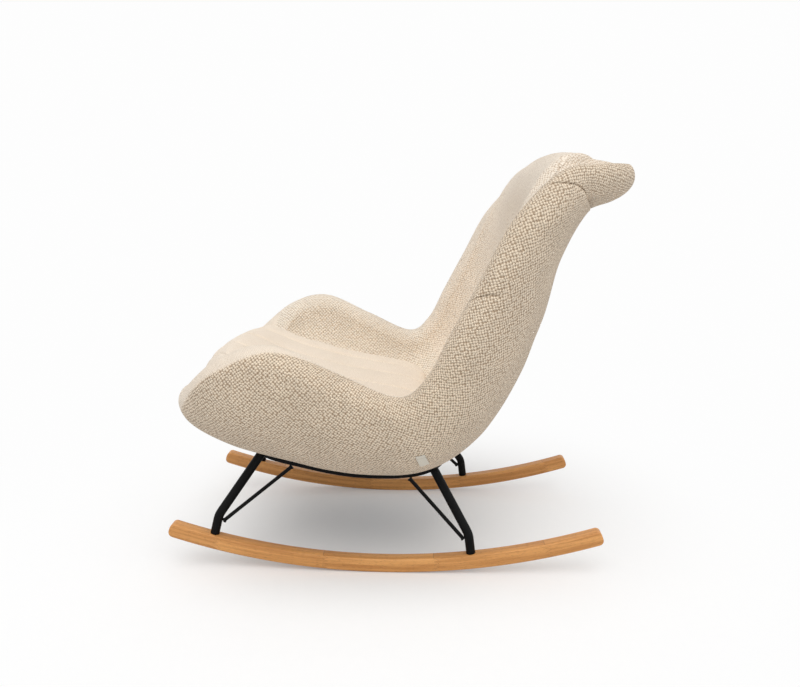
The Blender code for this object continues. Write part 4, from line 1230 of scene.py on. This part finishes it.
def steel_finish():
    """Black powder coat: a fine orange peel, a little paler and duller where it is worn."""
    finish = Finish("black_powder_coat")
    spot = finish.place()
    peel = noise(spot, 900.0, 2.0)
    cloud = noise(spot, 35.0, 3.0)
    tone = mix_colour(cloud * 0.6 + peel * 0.4, (0.003, 0.003, 0.0032), (0.008, 0.008, 0.0084))
    return finish.set(Base_Color=tone, Roughness=cloud * 0.18 + 0.30, Normal=relief(peel, 0.00018),
                      Specular_IOR_Level=0.09)


BLACK_STEEL = steel_finish()
print("finish:", BLACK_STEEL.name)

# %% Ring against the shell
RING_POINTS = 280


def ring_plan():
    """Rounded rectangle in plan, in even steps: four quarter circles and the straights between them."""
    turn = np.linspace(0, np.pi / 2, 24)
    corner_x = RING_HALF_WIDTH - RING_CORNER_RADIUS
    rear, front = RING_REAR_Y - RING_CORNER_RADIUS, RING_FRONT_Y + RING_CORNER_RADIUS
    centres = np.array([[corner_x, rear], [-corner_x, rear], [-corner_x, front], [corner_x, front]])
    turns = turn[None] + np.arange(4)[:, None] * np.pi / 2
    plan = centres[:, None] + RING_CORNER_RADIUS * np.stack([np.cos(turns), np.sin(turns)], axis=-1)
    plan = np.concatenate([plan.reshape(-1, 2), plan[0, :1]])
    far = lengths(plan)
    even = np.linspace(0, far[-1], RING_POINTS, endpoint=False)
    return looked_up(even, far, plan)


def ring_centre(x, y):
    """Middle of the bar where it lies against the shell."""
    points, out = belly(x, y)
    return points + out * (RING_RADIUS + RING_TO_SHELL)


def seat_ring(sides=28):
    """A closed round bar: rings square to the path, whose last ring joins its first."""
    path = ring_centre(*ring_plan().T)
    heading = unit(np.roll(path, -1, axis=0) - np.roll(path, 1, axis=0))
    rings = hoops(path, heading, UPWARDS, np.full(len(path), RING_RADIUS), sides)
    return make_piece("seat_ring_bar", rings, hoop_quads(rings, closed=True), BLACK_STEEL, weld=True)


RING = seat_ring()
dress("seat_ring")
print("ring:", len(RING.data.polygons), "faces")

# %% Legs and braces
RUNNER_RADIUS = 1.460
RUNNER_HEIGHT = 0.030
RUNNER_WIDTH = 0.028
RUNNER_SPACING = 0.440
RUNNER_LENGTH = 0.900
RUNNER_EDGE_RADIUS = 0.004
RUNNER_END_RADIUS = 0.010
LEG_RADIUS = 0.0095
LEG_BORE = 0.0080
LEG_BEND_RADIUS = 0.035
FOOT_LENGTH = 0.042
FOOT_GAP = 0.0003
FOOT_YS = {"front": -0.363, "rear": 0.185}
BRACE_YS = {"front": -0.184, "rear": 0.043}
BRACE_RADIUS = 0.004
BRACE_DROP = 0.027
BORE_DEPTH = 0.036
BEAD_HEIGHT = 0.0016
NEARBY = 0.004
SIDES = {"left": 1.0, "right": -1.0}


def foot(side, end):
    """Where a foot stands on its runner, and the direction up the foot: towards the arc's centre."""
    angle = math.asin(FOOT_YS[end] / RUNNER_RADIUS)
    reach = RUNNER_RADIUS - RUNNER_HEIGHT
    up = np.array([0.0, -math.sin(angle), math.cos(angle)])
    spot = np.array([side * RUNNER_SPACING / 2, 0.0, RUNNER_RADIUS]) - up * reach
    return spot + SHIFT, up


def ring_at(x, y):
    return ring_centre(x, y)[0]


def short_of(target_radius, own_radius, direction, target_axis):
    """How far from a bar's axis another bar ends when its cut end touches the first."""
    cosine = abs(float(direction @ target_axis))
    return (target_radius + FOOT_GAP + own_radius * cosine) / math.sqrt(1 - cosine ** 2)


def rounded_path(start, corner, end, radius, steps=14):
    """Straight, a bend on a circle of the radius, and straight again."""
    back, ahead = unit(start - corner), unit(end - corner)
    half = math.acos(float(back @ ahead)) / 2
    centre = corner + unit(back + ahead) * radius / math.sin(half)
    first = corner + back * radius / math.tan(half) - centre
    last = corner + ahead * radius / math.tan(half) - centre
    sweep = math.pi - 2 * half
    t = np.linspace(0, 1, steps)[:, None]
    arc = centre + (np.sin((1 - t) * sweep) * first + np.sin(t * sweep) * last) / math.sin(sweep)
    lower = start + (arc[0] - start) * np.linspace(0, 1, 6)[:-1, None]
    upper = arc[-1] + (end - arc[-1]) * np.linspace(0, 1, 12)[1:, None]
    return np.concatenate([lower, arc, upper])


def leg_profile(length):
    """From inside the foot's bore, round the rim, up the outside and over the welded end."""
    bore = [(BORE_DEPTH, 0.0), (BORE_DEPTH, LEG_BORE), (0.0006, LEG_BORE), (0.0, LEG_BORE + 0.0004)]
    rim = [(0.0, LEG_RADIUS - 0.0007), (0.0002, LEG_RADIUS - 0.0002), (0.0008, LEG_RADIUS)]
    outside = [(distance, LEG_RADIUS) for distance in np.linspace(0.004, length - 0.004, 60)]
    weld = [(length, LEG_RADIUS), (length + 0.0025, LEG_RADIUS - 0.0006),
            (length + 0.0050, LEG_RADIUS - 0.0025), (length + 0.0066, LEG_RADIUS - 0.0060),
            (length + 0.0070, 0.0)]
    return bore + rim + outside + weld


def brace_profile(length):
    """A thin rod with a bead of weld at each end."""
    bead = BRACE_RADIUS + BEAD_HEIGHT
    weld = [(-0.0015, 0.0), (-0.0015, bead - 0.0008), (-0.0005, bead), (0.0012, bead - 0.0005),
            (0.0030, BRACE_RADIUS)]
    far_weld = [(length - place, radius) for place, radius in weld[::-1]]
    return weld + [(length / 2, BRACE_RADIUS)] + far_weld


def leg_and_brace(side, end):
    """Paths of one leg and its brace, from the foot to the ring."""
    spot, up = foot(side, end)
    start = spot + up * FOOT_GAP
    bend = start + up * FOOT_LENGTH
    drop = RING_CORNER_RADIUS * (1 - math.sqrt(0.5))
    x = side * (RING_HALF_WIDTH - drop)
    y, slant = (RING_REAR_Y - drop, side) if end == "rear" else (RING_FRONT_Y + drop, -side)
    ring_axis = unit(ring_at(x + NEARBY, y - slant * NEARBY) - ring_at(x - NEARBY, y + slant * NEARBY))
    along = unit(ring_at(x, y) - bend)
    top = ring_at(x, y) - along * short_of(RING_RADIUS, LEG_RADIUS, along, ring_axis)
    low = bend - up * BRACE_DROP
    x, y = side * RING_HALF_WIDTH, BRACE_YS[end]
    rail = unit(ring_at(x, y + NEARBY) - ring_at(x, y - NEARBY))
    along = unit(ring_at(x, y) - low)
    brace = np.stack([low + along * short_of(LEG_RADIUS, BRACE_RADIUS, along, up),
                      ring_at(x, y) - along * short_of(RING_RADIUS, BRACE_RADIUS, along, rail)])
    return rounded_path(start, bend, top, LEG_BEND_RADIUS), brace


for label, side in SIDES.items():
    for end in FOOT_YS:
        leg_path, brace_path = leg_and_brace(side, end)
        leg_length, brace_length = lengths(leg_path)[-1], lengths(brace_path)[-1]
        tag = end + "_" + label
        leg = carried("leg_tube_" + tag, leg_path, leg_profile(leg_length), BLACK_STEEL)
        brace = carried("brace_rod_" + tag, brace_path, brace_profile(brace_length), BLACK_STEEL, 18)
        dress("leg_" + tag)
        dress("brace_" + tag)
        print(tag, "leg", round(leg_length, 3), "m, brace", round(brace_length, 3), "m")

# %% [markdown]
# ## The runners
# Each runner is a curved bar of oiled hardwood, glued up from staves with finger joints, with softened
# edges and rounded ends. It is a rounded rectangle carried along an arc. The grain follows the arc, so
# the finish works in the arc's own coordinates: metres along it, metres from its centre, and metres
# across. A bolt comes up through the runner into each foot, in a counterbored hole cut from below.

# %% Wood finish


def growth(along, depth, across, seed):
    """Streaks that run along a stave: noise stretched many times in the stave's direction."""
    return noise(join(along * 5.0, depth * 130.0 + seed, across * 130.0), 1.0, 4.0, 0.6)


def wood_finish(name, pale, dark, pore):
    """Hardwood on an arc: staves of slightly different tone, streaks, pores and finger joints."""
    finish = Finish(name)
    x, y, z = split(finish.place())
    y = y - SHIFT[1]
    down = RUNNER_RADIUS - z
    along = y.math("ARCTAN2", down) * RUNNER_RADIUS
    depth = (y * y + down * down).math("SQRT") - (RUNNER_RADIUS - RUNNER_HEIGHT)
    tooth = ((depth / 0.0075).math("FRACT") - 0.5).math("ABSOLUTE") * 0.022
    stave_place = (along + tooth + x.math("SIGN") * 0.031) / 0.235 + 0.37
    stave = stave_place.math("FLOOR")
    streak = growth(along, depth, x, stave * 7.3)
    broad = noise(join(along * 2.2, depth * 34.0 + stave * 3.1, x * 34.0), 1.0, 2.0)
    fine = noise(join(along * 26.0, depth * 900.0, x * 900.0), 1.0, 2.0, 0.6)
    pores = smooth_step(noise(join(along * 90.0, depth * 1500.0, x * 1500.0), 1.0, 1.0), 0.60, 0.70)
    shade = (stave * 0.618).math("FRACT")
    tone = mix_colour(smooth_step(streak * 0.6 + broad * 0.4, 0.36, 0.62), pale, dark)
    tone = mix_colour(shade * 0.38, tone, dark)
    tone = mix_colour(fine * 0.28, tone, pale)
    tone = mix_colour(pores * 0.60, tone, pore)
    joint = 1 - smooth_step((stave_place.math("FRACT") - 0.5).math("ABSOLUTE") * -1 + 0.5, 0.0008, 0.0030)
    tone = mix_colour(joint * 0.75, tone, pore)
    height = fine * 0.25 - pores * 0.6 - joint * 0.5 + streak * 0.2
    return finish.set(Base_Color=tone, Roughness=pores * 0.20 + fine * 0.12 + 0.38,
                      Normal=relief(height, 0.00025), Specular_IOR_Level=0.45)


RUNNER_WOOD = wood_finish("oiled_hardwood", (0.86, 0.430, 0.142), (0.53, 0.222, 0.060), (0.28, 0.105, 0.028))
print("finish:", RUNNER_WOOD.name)

# %% Runners with their bolt holes
END_ANGLE = RUNNER_END_RADIUS / RUNNER_RADIUS
HALF_SWEEP = math.asin(RUNNER_LENGTH / 2 / (RUNNER_RADIUS - RUNNER_END_RADIUS)) - END_ANGLE
ARC_ROWS = 120
CORNER_POINTS = 6
BOLT_HOLE_RADIUS = 0.0033
COUNTERBORE_RADIUS = 0.0075
COUNTERBORE_AT = 0.027
CUT_ABOVE = 0.005
CUT_BELOW = 0.040


def runner_rings(side):
    """Rounded rectangles along the arc. At the ends they move out by the cosine of a quarter turn and
    draw in by one less its sine, and the last ring closes on its middle."""
    turn = np.linspace(np.pi / 2, 0, 9)[1:]
    end = HALF_SWEEP + END_ANGLE * np.cos(turn)
    angle = np.concatenate([-end[::-1], np.linspace(-HALF_SWEEP, HALF_SWEEP, ARC_ROWS), end])
    inset = RUNNER_END_RADIUS * (1 - np.sin(turn))
    inset = np.concatenate([inset[::-1], np.zeros(ARC_ROWS), inset])
    height = (RUNNER_HEIGHT - 2 * inset)[:, None]
    radius = np.minimum(RUNNER_EDGE_RADIUS, 0.4 * height)
    quarter = np.linspace(0, np.pi / 2, CORNER_POINTS)
    around = (np.arange(4)[:, None] * np.pi / 2 + quarter[None]).ravel()
    x_sign = np.repeat([1, -1, -1, 1], CORNER_POINTS)
    y_sign = np.repeat([1, 1, -1, -1], CORNER_POINTS)
    x = x_sign * (RUNNER_WIDTH / 2 - radius) + radius * np.cos(around)
    below = RUNNER_HEIGHT / 2 + y_sign * (height / 2 - radius) + radius * np.sin(around)
    reach = RUNNER_RADIUS - RUNNER_HEIGHT + below
    rings = np.stack([side * RUNNER_SPACING / 2 + x, reach * np.sin(angle)[:, None],
                      RUNNER_RADIUS - reach * np.cos(angle)[:, None]], axis=-1)
    middles = rings.mean(axis=1, keepdims=True) + np.zeros_like(rings)
    return np.concatenate([middles[:1], rings, middles[-1:]]) + SHIFT


def bolt_hole(side, end):
    """A clearance hole with a counterbore under it, as a turned shape to cut away."""
    spot, up = foot(side, end)
    line = np.stack([spot + up * CUT_ABOVE, spot - up * CUT_BELOW])
    end_at = CUT_ABOVE + CUT_BELOW
    profile = [(0.0, 0.0), (0.0, BOLT_HOLE_RADIUS), (COUNTERBORE_AT, BOLT_HOLE_RADIUS),
               (COUNTERBORE_AT, COUNTERBORE_RADIUS), (end_at, COUNTERBORE_RADIUS), (end_at, 0.0)]
    return carried("bolt_hole", line, profile, RUNNER_WOOD, 32)


def runner(label, side):
    """One runner: its rings in a closed skin, less its two bolt holes."""
    rings = runner_rings(side)
    item = make_piece("curved_runner_" + label, rings, hoop_quads(rings), RUNNER_WOOD, weld=True)
    holes = [bolt_hole(side, end) for end in FOOT_YS]
    for hole in holes:
        cut = item.modifiers.new("hole", "BOOLEAN")
        cut.operation = "DIFFERENCE"
        cut.solver = "EXACT"
        cut.object = hole
    freeze(item)
    for hole in holes:
        bpy.data.objects.remove(hole)
    item.data.shade_smooth()
    item.data.set_sharp_from_angle(angle=math.radians(35))
    dress("runner_" + label)
    print(item.name, len(item.data.polygons), "faces")


for label, side in SIDES.items():
    runner(label, side)

# %% [markdown]
# ## Finishes for the hidden pieces
# The CAD pieces that keep their own shape are the moulded plywood core, the two hardwood battens, the
# black tabs inside the ring, and the zinc-plated bolts, nuts and inserts. They are mostly out of sight,
# but each one still gets the finish it would have. Plywood shows plies and wide grain, and zinc plating
# is a bright metal with a mottled, slightly yellow haze.

# %% Zinc, plywood and hardwood


def zinc_finish():
    finish = Finish("zinc_plate")
    spot = finish.place()
    mottle = noise(spot, 420.0, 3.0, 0.6)
    x, y, z = split(spot)
    scratch = noise(join(x * 300.0, y * 300.0, z * 3000.0), 1.0, 2.0)
    tone = mix_colour(mottle, (0.46, 0.47, 0.50), (0.66, 0.65, 0.60))
    return finish.set(Base_Color=tone, Metallic=1.0, Roughness=mottle * 0.25 + scratch * 0.12 + 0.18,
                      Normal=relief(scratch, 0.00008))


def timber_finish(name, pale, dark, stretch):
    """Straight-grained timber: rings of growth that wander, and fine fibres along the piece."""
    finish = Finish(name)
    x, y, z = split(finish.place())
    flow = noise(join(x * stretch, y * 18.0, z * 18.0), 1.0, 3.0)
    rings = ((flow * 9.0 + z * 60.0).math("SINE") + 1) * 0.5
    fibre = noise(join(x * 40.0, y * 900.0, z * 900.0), 1.0, 2.0)
    tone = mix_colour(rings * 0.55 + fibre * 0.45, pale, dark)
    return finish.set(Base_Color=tone, Roughness=fibre * 0.2 + 0.55, Normal=relief(fibre, 0.0002),
                      Specular_IOR_Level=0.3)


ZINC = zinc_finish()
PLYWOOD = timber_finish("moulded_plywood", (0.66, 0.50, 0.32), (0.50, 0.35, 0.20), 2.0)
HARDWOOD = timber_finish("batten_hardwood", (0.62, 0.45, 0.28), (0.42, 0.28, 0.15), 4.0)
HIDDEN_FINISHES = {"shell_core": PLYWOOD, "batten_": HARDWOOD, "mount_plate_": BLACK_STEEL,
                   "foot_insert_": ZINC, "runner_bolt_": ZINC, "shell_bolt_": ZINC, "t_nut_": ZINC}
HIDDEN_NODES = [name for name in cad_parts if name.startswith(tuple(HIDDEN_FINISHES))]
for node_name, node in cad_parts.items():
    for start, finish in HIDDEN_FINISHES.items():
        if node_name.startswith(start):
            for place in node.material_slots:
                place.material = finish
print("finishes given to", len(HIDDEN_NODES), "CAD nodes")
